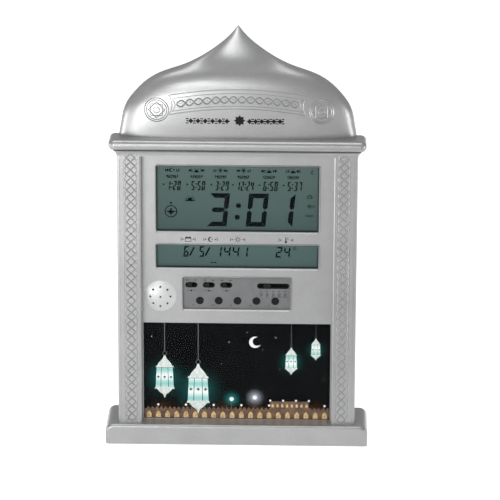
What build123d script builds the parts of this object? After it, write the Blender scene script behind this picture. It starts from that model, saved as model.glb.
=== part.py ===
from build123d import *
import os

# Azan clock: a mosque-shaped case with two liquid crystal displays, a control panel, a loudspeaker
# behind a domed grille and a picture behind a clear cover. Millimetres. X points right, Y to the
# back and Z up. The front and rear mouldings meet at Y = 0, and the rubber pads rest on Z = 0.

os.makedirs("parts", exist_ok=True)

# Case walls and clearances
case_wall = 2.2
seam_step = 1.5
running_gap = 0.2
seat_gap = 0.1

# Plinth
plinth_width = 203.0
plinth_depth = 45.0
plinth_height = 16.5
plinth_edge_radius = 2.6
plinth_shoulder_radius = 6.0
pad_drop = 0.5
pad_diameter = 10.0
pad_pocket = 1.2
pad_inset = 11.0

# Body with its two columns
body_width = 183.0
body_front = 16.5
body_back = 20.5
body_draft = 2.0
column_width = 18.45
column_edge_radius = 1.4
recess_depth = 8.0
channel_width = 7.6
channel_depth = 0.5
channel_offset = 6.6
channel_margin = 2.0
groove_width = 0.7
groove_depth = 0.4
groove_offsets = (2.3, 5.6, 14.9, 16.5)

# Openings of the fascia, stacked upwards from the plinth
picture_side_gap = 0.85
picture_height = 78.6
picture_margin = 0.4
control_gap = 11.2
control_width = 82.8
control_height = 25.6
date_gap = 7.9
date_height = 18.6
label_strip = 10.7
main_height = 52.1
header_strip = 9.9
window_radius = 1.0
window_chamfer = 0.6

# Cornice and dome
lintel_height = 4.8
cornice_height = 8.7
cornice_width = 195.4
cornice_front = 21.0
cornice_corner_radius = 4.5
cornice_nose_radius = 4.3
cove_height = 4.6
cove_reach = 2.3
dome_height = 85.0
dome_width = 180.6
dome_front = 16.2

# Outline of the dome, row by row: share of its height, of its half width, of its front depth and
# of the rear depth, and how full its section is (0.55 is half an ellipse, 1 would be a rectangle).
dome_rows = (
    (0.000, 1.000, 0.83, 0.96, 0.80),
    (0.100, 0.984, 0.89, 0.96, 0.79),
    (0.200, 0.968, 0.94, 0.96, 0.77),
    (0.300, 0.931, 0.97, 0.94, 0.75),
    (0.385, 0.872, 0.98, 0.90, 0.73),
    (0.494, 0.769, 0.92, 0.81, 0.70),
    (0.569, 0.652, 0.79, 0.71, 0.68),
    (0.642, 0.461, 0.58, 0.60, 0.65),
    (0.715, 0.318, 0.39, 0.48, 0.62),
    (0.826, 0.164, 0.22, 0.28, 0.58),
    (0.934, 0.053, 0.09, 0.11, 0.55),
    (1.000, 0.004, 0.02, 0.01, 0.55),
)

# Fascia, lenses and displays
fascia_thickness = 2.0
fascia_overlap = 10.0
fascia_foot = 4.0
lens_thickness = 1.0
lens_overlap = 2.0
glass_thickness = 1.1
glass_overlap = 3.8
glass_side_overlap = 2.8
contact_ledge = 3.0
contact_strip_width = 2.0
light_guide_thickness = 3.0
light_guide_inset = 2.0
led_width = 1.5
led_height = 2.4
led_length = 4.0
board_thickness = 1.6
main_board_width = 142.0
board_post_gap = 0.6
main_board_foot = 3.2
main_board_head = 6.4
print_thickness = 0.3
cover_thickness = 0.7

# Controls
control_plate_thickness = 1.6
control_plate_overlap = 2.2
key_board_standoff = 6.1
key_board_inset = 0.4
button_count = 5
button_pitch = 14.5
button_centre_in_panel = 0.6
button_height_in_panel = 6.5
button_diameter = 5.6
button_proud = 1.0
button_flange_diameter = 7.4
button_flange_thickness = 1.0
button_stem_diameter = 3.0
button_stem_entry = 0.6
button_travel = 0.5
tact_size = 6.0
tact_height = 3.5
tact_bore_depth = 1.7
switch_count = 3
switch_pitch = 13.4
switch_centre_in_panel = -21.5
switch_height_in_panel = 19.2
switch_slot_length = 9.3
slot_width = 4.4
switch_knob_length = 3.9
knob_width = 3.6
knob_proud = 0.5
knob_corner_radius = 1.4
switch_body_gap = 0.3
switch_travel = 3.2
switch_body_length = 10.8
switch_body_width = 6.2
selector_centre_in_panel = 28.0
selector_height_in_panel = 18.7
selector_slot_length = 24.8
selector_knob_length = 5.6
selector_step = 4.6
selector_steps = 4
selector_rest_step = 1
selector_body_length = 29.2
lever_length = 2.2
lever_width = 1.8
lever_depth = 2.2
lever_floor_gap = 0.5
knob_ridge_count = 3
knob_ridge_pitch = 1.0
knob_ridge_depth = 0.3

# Loudspeaker
speaker_side_gap = 14.05
speaker_to_panel = 17.3
speaker_height_in_panel = 10.6
grille_diameter = 24.5
grille_rise = 2.6
grille_wall = 1.2
grille_spigot_diameter = 22.2
grille_hole_diameter = 1.6
grille_ring_diameter = 15.5
grille_ring_count = 8
speaker_diameter = 28.0
gasket_thickness = 0.8
basket_flange = 1.0
basket_depth = 5.5
basket_mouth_diameter = 21.4
basket_throat_diameter = 17.0
basket_wall = 0.8
cone_thickness = 0.4
cone_coil_diameter = 8.0
magnet_diameter = 15.0
magnet_height = 4.0
clamp_thickness = 1.2
clamp_reach = 17.5

# Screws and posts
post_diameter = 5.4
small_post_diameter = 4.2
post_hole_depth = 4.5
case_post_diameter = 7.0
screw_shank_diameter = 2.2
case_screw_shank_diameter = 2.9
screw_head_diameter = 4.4
screw_head_height = 1.6
case_screw_head_diameter = 5.8
case_screw_head_height = 2.0
case_screw_length = 20.0
fascia_screw_length = 6.0
board_screw_length = 5.5
clamp_screw_length = 3.6
counterbore_diameter = 6.6
counterbore_depth = 8.0
pilot_depth = 14.0
plinth_screw_inset = 10.0
plinth_screw_rise = 0.4
cornice_screw_inset = 10.5
cornice_screw_rise = 3.2
dome_screw_share = 0.47
dome_post_share = 0.86
dome_boss_share = 0.76
fascia_post_inset = 0.8
fascia_post_foot = 24.0
fascia_post_drop = 7.0
fascia_post_head = 17.0
main_post_foot = 0.7
main_post_head = 2.4
key_post_side_inset = 0.8
key_post_inset = 0.9

# Battery compartment, door and cells
cell_diameter = 14.2
cell_length = 49.0
cell_nub_diameter = 5.4
cell_nub_height = 1.4
cell_gap = 1.0
contact_room = 4.0
contact_thickness = 0.4
contact_width = 9.0
bay_wall = 2.0
bay_clearance = 0.5
bay_bottom = 31.0
door_thickness = 2.0
door_overlap = 1.4
door_gap = 0.3
door_pin_diameter = 1.2
door_pin_length = 1.4
door_rib_count = 5
door_rib_pitch = 2.4
door_rib_width = 0.9
door_rib_rise = 0.5
door_rib_length = 16.0
door_rib_drop = 11.0

# Rear fittings
jack_x = 62.0
jack_z = 42.0
jack_barrel_diameter = 7.6
jack_bore_diameter = 5.6
jack_bore_depth = 9.0
jack_pin_recess = 1.0
jack_pin_diameter = 2.0
jack_flange_diameter = 10.4
jack_flange_thickness = 1.2
jack_body_width = 9.0
jack_body_depth = 4.7
jack_barrel_depth = 6.5
jack_nut_width = 11.0
jack_nut_thickness = 2.0
keyhole_x = 50.0
keyhole_z = 205.0
keyhole_diameter = 8.4
keyhole_slot_width = 4.2
keyhole_slot_rise = 9.0
vent_count = 6
vent_pitch = 4.4
vent_length = 22.0
vent_width = 1.8

# Small parts on the boards and their leads
chip_x = 8.0
chip_share = 0.55
chip_diameter = 20.0
chip_height = 1.6
crystal_length = 11.0
crystal_width = 4.6
crystal_height = 3.4
capacitor_diameter = 6.3
capacitor_height = 7.0
capacitor_pitch = 9.0
sensor_diameter = 3.0
sensor_height = 2.4
lead_diameter = 1.6
lead_bend = 3.0
lead_slack = 4.2
lead_landing = 8.0
ribbon_width = 14.0
ribbon_thickness = 0.5
ribbon_rise = 4.5

# Levels worked out from the sizes above
plinth_half = plinth_depth / 2
body_half = body_width / 2
recess_half = body_half - column_width
picture_width = 2 * (recess_half - picture_side_gap)
glass_width = main_board_width - 2 * (board_post_gap + post_diameter)
window_width = glass_width - 2 * glass_side_overlap
speaker_x = speaker_side_gap - recess_half
control_shift = speaker_x + speaker_to_panel + control_width / 2
picture_bottom = plinth_height + picture_margin
picture_top = picture_bottom + picture_height
control_bottom = picture_top + control_gap
control_top = control_bottom + control_height
date_bottom = control_top + date_gap
date_top = date_bottom + date_height
main_bottom = date_top + label_strip
main_top = main_bottom + main_height
recess_top = main_top + header_strip
cornice_bottom = recess_top + lintel_height
cornice_top = cornice_bottom + cornice_height
fascia_front = recess_depth - body_front
fascia_back = fascia_front + fascia_thickness
lens_back = fascia_back + lens_thickness
glass_step = lens_back + glass_thickness
glass_back = glass_step + glass_thickness
main_board_front = glass_back + light_guide_thickness
main_board_back = main_board_front + board_thickness
control_plate_back = fascia_back + control_plate_thickness
key_board_front = control_plate_back + key_board_standoff
key_board_back = key_board_front + board_thickness
button_z = control_bottom + button_height_in_panel
switch_z = control_bottom + switch_height_in_panel
selector_z = control_bottom + selector_height_in_panel
speaker_z = control_bottom + speaker_height_in_panel
rear_inner = body_back - case_wall
screw_hole_diameter = screw_shank_diameter + 2 * seat_gap
case_screw_hole_diameter = case_screw_shank_diameter + 2 * seat_gap
case_screw_seat = body_back - counterbore_depth

button_centre = control_shift + button_centre_in_panel
switch_centre = control_shift + switch_centre_in_panel
selector_centre = control_shift + selector_centre_in_panel
button_xs = [button_centre + (i - (button_count - 1) / 2) * button_pitch for i in range(button_count)]
switch_xs = [switch_centre + (i - (switch_count - 1) / 2) * switch_pitch for i in range(switch_count)]

# Screw and post places, as (x, z) pairs
fascia_post_x = recess_half + fascia_overlap - post_diameter / 2 - fascia_post_inset
fascia_post_zs = (plinth_height + fascia_post_foot, control_top - fascia_post_drop,
                  recess_top - fascia_post_head)
fascia_posts = [(side * fascia_post_x, z) for side in (-1, 1) for z in fascia_post_zs]
main_post_x = (main_board_width - post_diameter) / 2
main_posts = [
    (side * main_post_x, z)
    for side in (-1, 1)
    for z in (date_bottom - main_post_foot, main_top + main_post_head)
]
key_post_x = control_width / 2 - key_post_side_inset
key_posts = [
    (control_shift + side * key_post_x, z)
    for side in (-1, 1)
    for z in (control_bottom + key_post_inset, control_top - key_post_inset)
]
plinth_screw_x = plinth_width / 2 - plinth_screw_inset
plinth_screw_z = plinth_height / 2 + plinth_screw_rise
plinth_screws = [(side * plinth_screw_x, plinth_screw_z) for side in (-1, 1)]
cornice_screw_x = body_half - cornice_screw_inset
cornice_screw_z = cornice_bottom + cornice_screw_rise
cornice_screws = [(side * cornice_screw_x, cornice_screw_z) for side in (-1, 1)]
dome_screw = (0.0, cornice_top + dome_screw_share * dome_height)
case_screw_places = plinth_screws + cornice_screws + [dome_screw]
clamp_offset = clamp_reach / 2 ** 0.5
clamp_posts = [
    (speaker_x - clamp_offset, speaker_z - clamp_offset),
    (speaker_x + clamp_offset, speaker_z + clamp_offset),
]


def facing(y):
    """Plane at depth y that faces the front: its x is X, its y is Z and it extrudes forwards."""
    return Plane.XZ.offset(-y)


def backing(y):
    """Plane at depth y that faces the back: its x is -X, its y is Z and it extrudes backwards."""
    return Plane(origin=(0, y, 0), x_dir=(-1, 0, 0), z_dir=(0, 1, 0))


def dome_section(height, half_width, depth, fullness):
    """Half oval in plan, closed along the parting plane; a negative depth is forwards."""
    side_handle = fullness * depth
    front_handle = fullness * half_width
    with BuildSketch(Plane.XY.offset(height)) as section:
        with BuildLine():
            Bezier((half_width, 0), (half_width, side_handle), (front_handle, depth), (0, depth))
            Bezier((0, depth), (-front_handle, depth), (-half_width, side_handle), (-half_width, 0))
            Line((-half_width, 0), (half_width, 0))
        make_face()
    return section.sketch


def front_dome(inset):
    """Front half of the dome, its skin moved inwards and down by inset."""
    sections = []
    for rise, width_share, front_share, _, fullness in dome_rows:
        half_width = width_share * dome_width / 2 - inset
        depth = front_share * dome_front - inset
        if depth > inset:
            height = cornice_top + rise * dome_height - inset
            sections.append(dome_section(height, half_width, -depth, fullness))
    with BuildPart() as dome:
        loft(sections)
    return dome.part


def rear_dome(inset):
    """Rear half of the dome, a step smaller than the front at the seam."""
    sections = []
    for rise, width_share, _, rear_share, fullness in dome_rows[:-1]:
        half_width = width_share * dome_width / 2 - seam_step - inset
        depth = rear_share * body_back - inset
        if depth > inset:
            height = cornice_top + rise * dome_height - seam_step - inset
            sections.append(dome_section(height, half_width, depth, fullness))
    with BuildPart() as dome:
        loft(sections)
    return dome.part


def plinth_part(side):
    """Half of the plinth: side is -1 in front of the parting plane and 1 behind it."""
    with BuildPart() as half:
        with BuildSketch(Plane.XY.offset(pad_drop)):
            with Locations((0, side * plinth_half / 2)):
                Rectangle(plinth_width, plinth_half)
        extrude(amount=plinth_height - pad_drop)
        fillet(half.edges().filter_by(Axis.Y).group_by(Axis.Z)[-1], plinth_shoulder_radius)
        face = half.faces().sort_by(Axis.Y)[0 if side < 0 else -1]
        rim = [edge for edge in face.edges() if edge.center().Z > pad_drop + seat_gap]
        fillet(rim, plinth_edge_radius)
    return half.part


def cornice_moulding():
    """Round-nosed cornice slab, with its nose and its two front corners rounded."""
    with BuildPart() as slab:
        with BuildSketch(Plane.XY.offset(cornice_bottom)):
            Rectangle(cornice_width, cornice_front, align=(Align.CENTER, Align.MAX))
        extrude(amount=cornice_height)
        fillet(slab.edges().filter_by(Axis.Z).group_by(Axis.Y)[0], cornice_corner_radius)
        nose = [
            edge
            for edge in slab.faces().sort_by(Axis.Z)[0].edges() + slab.faces().sort_by(Axis.Z)[-1].edges()
            if edge.center().Y < -seat_gap
        ]
        fillet(nose, cornice_nose_radius)
    return slab.part


def cove_moulding():
    """Hollow moulding that leads from the body out to the cornice, mitred at the two corners."""
    foot = cornice_bottom - cove_height
    with BuildPart() as cove:
        with BuildLine() as path:
            Polyline(
                (-body_half, 0, foot),
                (-body_half, -body_front, foot),
                (body_half, -body_front, foot),
                (body_half, 0, foot),
            )
        with BuildSketch(Plane(origin=(-body_half, 0, foot), x_dir=(-1, 0, 0), z_dir=(0, 1, 0))):
            with BuildLine():
                TangentArc((0, 0), (cove_reach, cove_height), tangent=(0, 1))
                Line((cove_reach, cove_height), (-case_wall / 2, cove_height))
                Line((-case_wall / 2, cove_height), (-case_wall / 2, 0))
                Line((-case_wall / 2, 0), (0, 0))
            make_face()
        sweep(path=path.line, transition=Transition.RIGHT)
    return cove.part


def front_body():
    """Block of the two columns and the lintel, before it is hollowed."""
    with BuildPart() as block:
        with BuildSketch(Plane.XY.offset(plinth_height / 2)):
            Rectangle(body_width, body_front, align=(Align.CENTER, Align.MAX))
        extrude(amount=cornice_bottom - plinth_height / 2)
        fillet(block.edges().filter_by(Axis.Z).group_by(Axis.Y)[0], column_edge_radius)
        with BuildSketch(facing(0)):
            with Locations((0, (plinth_height + recess_top) / 2)):
                Rectangle(2 * recess_half, recess_top - plinth_height)
        extrude(amount=body_front, mode=Mode.SUBTRACT)
        front_edges = block.edges().filter_by(Axis.Z).group_by(Axis.Y)[0]
        fillet([edge for edge in front_edges if abs(edge.center().X) < body_half - column_width / 2],
               column_edge_radius)
        column_middle = (plinth_height + recess_top) / 2
        column_length = recess_top - plinth_height - 2 * channel_margin
        for side in (-1, 1):
            with BuildSketch(facing(-body_front)):
                with Locations((side * (body_half - channel_offset - channel_width / 2), column_middle)):
                    Rectangle(channel_width, column_length)
            extrude(amount=-channel_depth, mode=Mode.SUBTRACT)
            with BuildSketch(facing(-body_front)):
                with Locations(*[(side * (body_half - offset), column_middle) for offset in groove_offsets]):
                    Rectangle(groove_width, column_length)
            extrude(amount=-groove_depth, mode=Mode.SUBTRACT)
    return block.part


def pocket(low, high):
    """Rectangular block between two corners, used to hollow a moulding."""
    with BuildPart() as block:
        with Locations(tuple((a + b) / 2 for a, b in zip(low, high))):
            Box(*[b - a for a, b in zip(low, high)])
    return block.part


def round_bar(x, z, back, front, diameter):
    """Cylinder along Y between two depths."""
    with BuildPart() as bar:
        with BuildSketch(facing(back)):
            with Locations((x, z)):
                Circle(diameter / 2)
        extrude(amount=back - front)
    return bar.part


def screw(x, z, seat, shank_length, shank_diameter, head_diameter, head_height):
    """Pan-head screw driven forwards: its head lies on a seat that faces the back."""
    with BuildPart() as fastener:
        with BuildSketch(facing(seat)):
            with Locations((x, z)):
                Circle(shank_diameter / 2)
        extrude(amount=shank_length)
        with BuildSketch(facing(seat + head_height)):
            with Locations((x, z)):
                Circle(head_diameter / 2)
        extrude(amount=head_height)
        chamfer(fastener.faces().sort_by(Axis.Y)[-1].edges(), head_height / 4)
    return fastener.part


def lead(*points):
    """Round lead with tangent bends along a line of points."""
    with BuildPart() as cable:
        with BuildLine() as path:
            FilletPolyline(*points, radius=lead_bend)
        with BuildSketch(path.line ^ 0):
            Circle(lead_diameter / 2)
        sweep(path=path.line)
    return cable.part


# ---- Front case: plinth front, columns, lintel, cornice and dome in one moulding ----
inner_half = body_half - case_wall
inner_front = body_front - case_wall
return_outer = recess_half + case_wall
dome_post_front = dome_post_share * dome_front
with BuildPart() as front_case:
    add(plinth_part(-1))
    add(front_body())
    add(cornice_moulding())
    add(cove_moulding())
    add(front_dome(0))
    add(front_dome(case_wall), mode=Mode.SUBTRACT)
    add(
        pocket((case_wall - plinth_width / 2, case_wall - plinth_half, pad_drop + case_wall),
               (plinth_width / 2 - case_wall, 0, plinth_height - case_wall)),
        mode=Mode.SUBTRACT,
    )
    add(
        pocket((-inner_half, fascia_front, pad_drop + case_wall), (inner_half, 0, cornice_top - case_wall)),
        mode=Mode.SUBTRACT,
    )
    add(
        pocket((-inner_half, -inner_front, recess_top + case_wall), (inner_half, 0, cornice_top - case_wall)),
        mode=Mode.SUBTRACT,
    )
    for side in (-1, 1):
        column_xs = sorted((side * return_outer, side * inner_half))
        add(
            pocket((column_xs[0], -inner_front, plinth_height / 2),
                   (column_xs[1], 0, cornice_top - case_wall)),
            mode=Mode.SUBTRACT,
        )
    for x, z in fascia_posts:
        add(round_bar(x, z, fascia_front, -inner_front - case_wall / 2, post_diameter))
        add(round_bar(x, z, fascia_front, fascia_front - post_hole_depth, screw_hole_diameter),
            mode=Mode.SUBTRACT)
    case_posts = [(place, plinth_half - case_wall / 2) for place in plinth_screws]
    case_posts += [(place, body_front - case_wall / 2) for place in cornice_screws]
    case_posts += [(dome_screw, dome_post_front)]
    for (x, z), reach in case_posts:
        add(round_bar(x, z, -seat_gap, -reach, case_post_diameter))
        add(round_bar(x, z, -seat_gap, -pilot_depth, case_screw_hole_diameter), mode=Mode.SUBTRACT)
    for side in (-1, 1):
        with BuildSketch(Plane.XY.offset(pad_drop)):
            with Locations((side * (plinth_width / 2 - pad_inset), pad_inset - plinth_half)):
                Circle(pad_diameter / 2 + seat_gap)
        extrude(amount=pad_pocket, mode=Mode.SUBTRACT)
front_case.part.label = "front_case"
export_step(front_case.part, "parts/front_case.step")


# ---- Fascia panel: windows, control opening, picture pocket and rear posts ----
fascia_half = recess_half + fascia_overlap
fascia_bottom = plinth_height - fascia_foot
fascia_top = recess_top + fascia_foot
clamp_front = fascia_back + gasket_thickness + basket_flange
with BuildPart() as fascia_panel:
    with BuildSketch(facing(fascia_back)):
        with Locations((0, (fascia_bottom + fascia_top) / 2)):
            Rectangle(2 * fascia_half, fascia_top - fascia_bottom)
        with Locations((0, (date_bottom + date_top) / 2)):
            RectangleRounded(window_width, date_height, window_radius, mode=Mode.SUBTRACT)
        with Locations((0, (main_bottom + main_top) / 2)):
            RectangleRounded(window_width, main_height, window_radius, mode=Mode.SUBTRACT)
        with Locations((control_shift, (control_bottom + control_top) / 2)):
            RectangleRounded(control_width, control_height, window_radius, mode=Mode.SUBTRACT)
    extrude(amount=fascia_thickness)
    chamfer(fascia_panel.faces().sort_by(Axis.Y)[0].inner_wires().edges(), window_chamfer)
    with BuildSketch(facing(fascia_back)):
        with Locations((speaker_x, speaker_z)):
            Circle(grille_spigot_diameter / 2 + seat_gap)
        with Locations(*fascia_posts):
            Circle(screw_hole_diameter / 2)
    extrude(amount=fascia_thickness, mode=Mode.SUBTRACT)
    with BuildSketch(facing(fascia_front)):
        with Locations((0, (picture_bottom + picture_top) / 2)):
            Rectangle(picture_width + 2 * seat_gap, picture_height + 2 * seat_gap)
    extrude(amount=-print_thickness - cover_thickness, mode=Mode.SUBTRACT)
    for x, z in main_posts:
        add(round_bar(x, z, main_board_front, fascia_back, post_diameter))
        add(round_bar(x, z, main_board_front, main_board_front - post_hole_depth, screw_hole_diameter),
            mode=Mode.SUBTRACT)
    for x, z in clamp_posts:
        add(round_bar(x, z, clamp_front, fascia_back, small_post_diameter))
        add(round_bar(x, z, clamp_front, fascia_back - fascia_thickness / 2, screw_hole_diameter),
            mode=Mode.SUBTRACT)
fascia_panel.part.label = "fascia_panel"
export_step(fascia_panel.part, "parts/fascia_panel.step")


# ---- Picture: a printed card under a clear cover, flush with the fascia ----
with BuildPart() as picture_print:
    with BuildSketch(facing(fascia_front + cover_thickness + print_thickness)):
        with Locations((0, (picture_bottom + picture_top) / 2)):
            Rectangle(picture_width, picture_height)
    extrude(amount=print_thickness)
picture_print.part.label = "picture_print"
export_step(picture_print.part, "parts/picture_print.step")

with BuildPart() as picture_cover:
    with BuildSketch(facing(fascia_front + cover_thickness)):
        with Locations((0, (picture_bottom + picture_top) / 2)):
            Rectangle(picture_width, picture_height)
    extrude(amount=cover_thickness)
picture_cover.part.label = "picture_cover"
export_step(picture_cover.part, "parts/picture_cover.step")


# ---- Displays: lens, two-pane glass, light guide, contact strips and light emitters for each ----
display_rows = (("main", main_bottom, main_top), ("date", date_bottom, date_top))
guide_width = glass_width - 2 * light_guide_inset
for row_name, row_bottom, row_top in display_rows:
    row_middle = (row_bottom + row_top) / 2
    row_height = row_top - row_bottom
    lens_width = window_width + 2 * lens_overlap
    with BuildPart() as lens:
        with BuildSketch(facing(lens_back)):
            with Locations((0, row_middle)):
                RectangleRounded(lens_width, row_height + 2 * lens_overlap, window_radius)
        extrude(amount=lens_thickness)
    lens.part.label = row_name + "_lens"
    export_step(lens.part, "parts/" + row_name + "_lens.step")

    with BuildPart() as display:
        with BuildSketch(facing(glass_step)):
            with Locations((0, row_middle)):
                Rectangle(glass_width, row_height + 2 * glass_overlap)
        extrude(amount=glass_thickness)
        with BuildSketch(facing(glass_back)):
            with Locations((0, row_middle)):
                Rectangle(glass_width, row_height + 2 * (glass_overlap - contact_ledge))
        extrude(amount=glass_thickness)
    display.part.label = row_name + "_display"
    export_step(display.part, "parts/" + row_name + "_display.step")

    with BuildPart() as light_guide:
        with BuildSketch(facing(main_board_front)):
            with Locations((0, row_middle)):
                Rectangle(guide_width, row_height + 2 * (glass_overlap - contact_ledge))
        extrude(amount=light_guide_thickness)
    light_guide.part.label = row_name + "_light_guide"
    export_step(light_guide.part, "parts/" + row_name + "_light_guide.step")

strip_rows = [
    z + side * (glass_overlap - contact_ledge / 2)
    for _, low, high in display_rows
    for z, side in ((low, -1), (high, 1))
]
with BuildPart() as contact_strips:
    with BuildSketch(facing(main_board_front)):
        with Locations(*[(0, z) for z in strip_rows]):
            Rectangle(window_width, contact_strip_width)
    extrude(amount=main_board_front - glass_step)
contact_strips.part.label = "contact_strips"
export_step(contact_strips.part, "parts/contact_strips.step")

led_x = guide_width / 2 + seat_gap + led_width / 2
led_places = [(side * led_x, (low + high) / 2) for _, low, high in display_rows for side in (-1, 1)]
with BuildPart() as backlight_leds:
    with BuildSketch(facing(main_board_front)):
        with Locations(*led_places):
            Rectangle(led_width, led_length)
    extrude(amount=led_height)
backlight_leds.part.label = "backlight_leds"
export_step(backlight_leds.part, "parts/backlight_leds.step")


# ---- Main board and the larger parts soldered to its back ----
main_board_bottom = control_top + main_board_foot
main_board_top = main_top + main_board_head
with BuildPart() as main_board:
    with BuildSketch(facing(main_board_back)):
        with Locations((0, (main_board_bottom + main_board_top) / 2)):
            Rectangle(main_board_width, main_board_top - main_board_bottom)
        with Locations(*main_posts):
            Circle(screw_hole_diameter / 2, mode=Mode.SUBTRACT)
    extrude(amount=board_thickness)
main_board.part.label = "main_board"
export_step(main_board.part, "parts/main_board.step")

chip_place = (chip_x, main_bottom + chip_share * main_height)
with BuildPart() as main_chip:
    with BuildSketch(backing(main_board_back)):
        with Locations((-chip_place[0], chip_place[1])):
            Circle(chip_diameter / 2)
    extrude(amount=chip_height)
    chamfer(main_chip.faces().sort_by(Axis.Y)[-1].edges(), chip_height / 2)
main_chip.part.label = "main_chip"
export_step(main_chip.part, "parts/main_chip.step")

with BuildPart() as quartz_crystal:
    with BuildSketch(backing(main_board_back)):
        with Locations((-chip_place[0] + chip_diameter, chip_place[1])):
            SlotOverall(crystal_length, crystal_width, rotation=90)
    extrude(amount=crystal_height)
quartz_crystal.part.label = "quartz_crystal"
export_step(quartz_crystal.part, "parts/quartz_crystal.step")

with BuildPart() as capacitors:
    with BuildSketch(backing(main_board_back)):
        with Locations((-chip_place[0] - chip_diameter, chip_place[1])):
            with GridLocations(capacitor_pitch, capacitor_pitch, 1, 2):
                Circle(capacitor_diameter / 2)
    extrude(amount=capacitor_height)
capacitors.part.label = "capacitors"
export_step(capacitors.part, "parts/capacitors.step")

with BuildPart() as temperature_sensor:
    with BuildSketch(backing(main_board_back)):
        with Locations((-speaker_x, date_bottom + date_height / 2)):
            Circle(sensor_diameter / 2)
    extrude(amount=sensor_height)
temperature_sensor.part.label = "temperature_sensor"
export_step(temperature_sensor.part, "parts/temperature_sensor.step")


# ---- Control plate: the darker floor of the control opening, with posts for the key board ----
plate_width = control_width + 2 * control_plate_overlap
plate_height = control_height + 2 * control_plate_overlap
control_middle = (control_shift, (control_bottom + control_top) / 2)
with BuildPart() as control_plate:
    with BuildSketch(facing(control_plate_back)):
        with Locations(control_middle):
            Rectangle(plate_width, plate_height)
        with Locations(*[(x, button_z) for x in button_xs]):
            Circle(button_diameter / 2 + running_gap, mode=Mode.SUBTRACT)
        with Locations(*[(x, switch_z) for x in switch_xs]):
            SlotOverall(switch_slot_length, slot_width, mode=Mode.SUBTRACT)
        with Locations((selector_centre, selector_z)):
            SlotOverall(selector_slot_length, slot_width, mode=Mode.SUBTRACT)
    extrude(amount=control_plate_thickness)
    for x, z in key_posts:
        add(round_bar(x, z, key_board_front, control_plate_back, small_post_diameter))
        add(round_bar(x, z, key_board_front, key_board_front - post_hole_depth, screw_hole_diameter),
            mode=Mode.SUBTRACT)
control_plate.part.label = "control_plate"
export_step(control_plate.part, "parts/control_plate.step")


# ---- Key board with its five tact switches ----
with BuildPart() as key_board:
    with BuildSketch(facing(key_board_back)):
        with Locations(control_middle):
            Rectangle(plate_width - 2 * key_board_inset, plate_height - 2 * key_board_inset)
        with Locations(*key_posts):
            Circle(screw_hole_diameter / 2, mode=Mode.SUBTRACT)
    extrude(amount=board_thickness)
key_board.part.label = "key_board"
export_step(key_board.part, "parts/key_board.step")

tact_front = key_board_front - tact_height
with BuildPart() as tact_switches:
    with BuildSketch(facing(key_board_front)):
        with Locations(*[(x, button_z) for x in button_xs]):
            Rectangle(tact_size, tact_size)
    extrude(amount=tact_height)
    with BuildSketch(facing(tact_front)):
        with Locations(*[(x, button_z) for x in button_xs]):
            Circle(button_stem_diameter / 2 + running_gap)
    extrude(amount=-tact_bore_depth, mode=Mode.SUBTRACT)
tact_switches.part.label = "tact_switches"
export_step(tact_switches.part, "parts/tact_switches.step")


# ---- Push buttons: cap, flange behind the plate and stem into the tact switch ----
cap_front = fascia_back - button_proud
flange_front = control_plate_back + seat_gap
flange_back = flange_front + button_flange_thickness
stem_back = tact_front + button_stem_entry
for number, x in enumerate(button_xs, start=1):
    with BuildPart() as push_button:
        with BuildSketch(facing(flange_front)):
            with Locations((x, button_z)):
                Circle(button_diameter / 2)
        extrude(amount=flange_front - cap_front)
        chamfer(push_button.faces().sort_by(Axis.Y)[0].edges(), button_proud / 4)
        with BuildSketch(facing(flange_back)):
            with Locations((x, button_z)):
                Circle(button_flange_diameter / 2)
        extrude(amount=button_flange_thickness)
        with BuildSketch(facing(stem_back)):
            with Locations((x, button_z)):
                Circle(button_stem_diameter / 2)
        extrude(amount=stem_back - flange_back)
    push_button.part.label = "push_button_" + str(number)
    export_step(push_button.part, "parts/push_button_" + str(number) + ".step")


# ---- Slide switches and the five-place selector ----
switch_body_front = control_plate_back + switch_body_gap


def switch_body(x, z, length, travel):
    """Housing of a slide switch on the key board, with the slot that its lever runs in."""
    with BuildPart() as housing:
        with BuildSketch(facing(key_board_front)):
            with Locations((x, z)):
                Rectangle(length, switch_body_width)
        extrude(amount=key_board_front - switch_body_front)
        with BuildSketch(facing(switch_body_front)):
            with Locations((x, z)):
                Rectangle(lever_length + travel + 2 * running_gap, lever_width + 2 * running_gap)
        extrude(amount=-lever_depth - lever_floor_gap, mode=Mode.SUBTRACT)
    return housing.part


def switch_knob(x, z, length):
    """Knob of a slide switch: ridged head in the slot of the plate and lever in the housing."""
    head_front = fascia_back - knob_proud
    head_back = switch_body_front - running_gap
    ridge_width = knob_ridge_pitch / 2
    with BuildPart() as knob:
        with BuildSketch(facing(head_back)):
            with Locations((x, z)):
                Rectangle(length, knob_width)
        extrude(amount=head_back - head_front)
        fillet(knob.edges().filter_by(Axis.Y), knob_corner_radius)
        with BuildSketch(facing(head_front)):
            with Locations((x, z)):
                with GridLocations(knob_ridge_pitch, 0, knob_ridge_count, 1):
                    Rectangle(ridge_width, knob_width)
        extrude(amount=-knob_ridge_depth, mode=Mode.SUBTRACT)
        with BuildSketch(facing(switch_body_front + lever_depth)):
            with Locations((x, z)):
                Rectangle(lever_length, lever_width)
        extrude(amount=lever_depth + running_gap)
    return knob.part


with BuildPart() as slide_switch_bodies:
    for x in switch_xs:
        add(switch_body(x, switch_z, switch_body_length, switch_travel))
slide_switch_bodies.part.label = "slide_switch_bodies"
export_step(slide_switch_bodies.part, "parts/slide_switch_bodies.step")

for number, x in enumerate(switch_xs, start=1):
    with BuildPart() as slide_knob:
        add(switch_knob(x - switch_travel / 2, switch_z, switch_knob_length))
    slide_knob.part.label = "slide_knob_" + str(number)
    export_step(slide_knob.part, "parts/slide_knob_" + str(number) + ".step")

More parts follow.
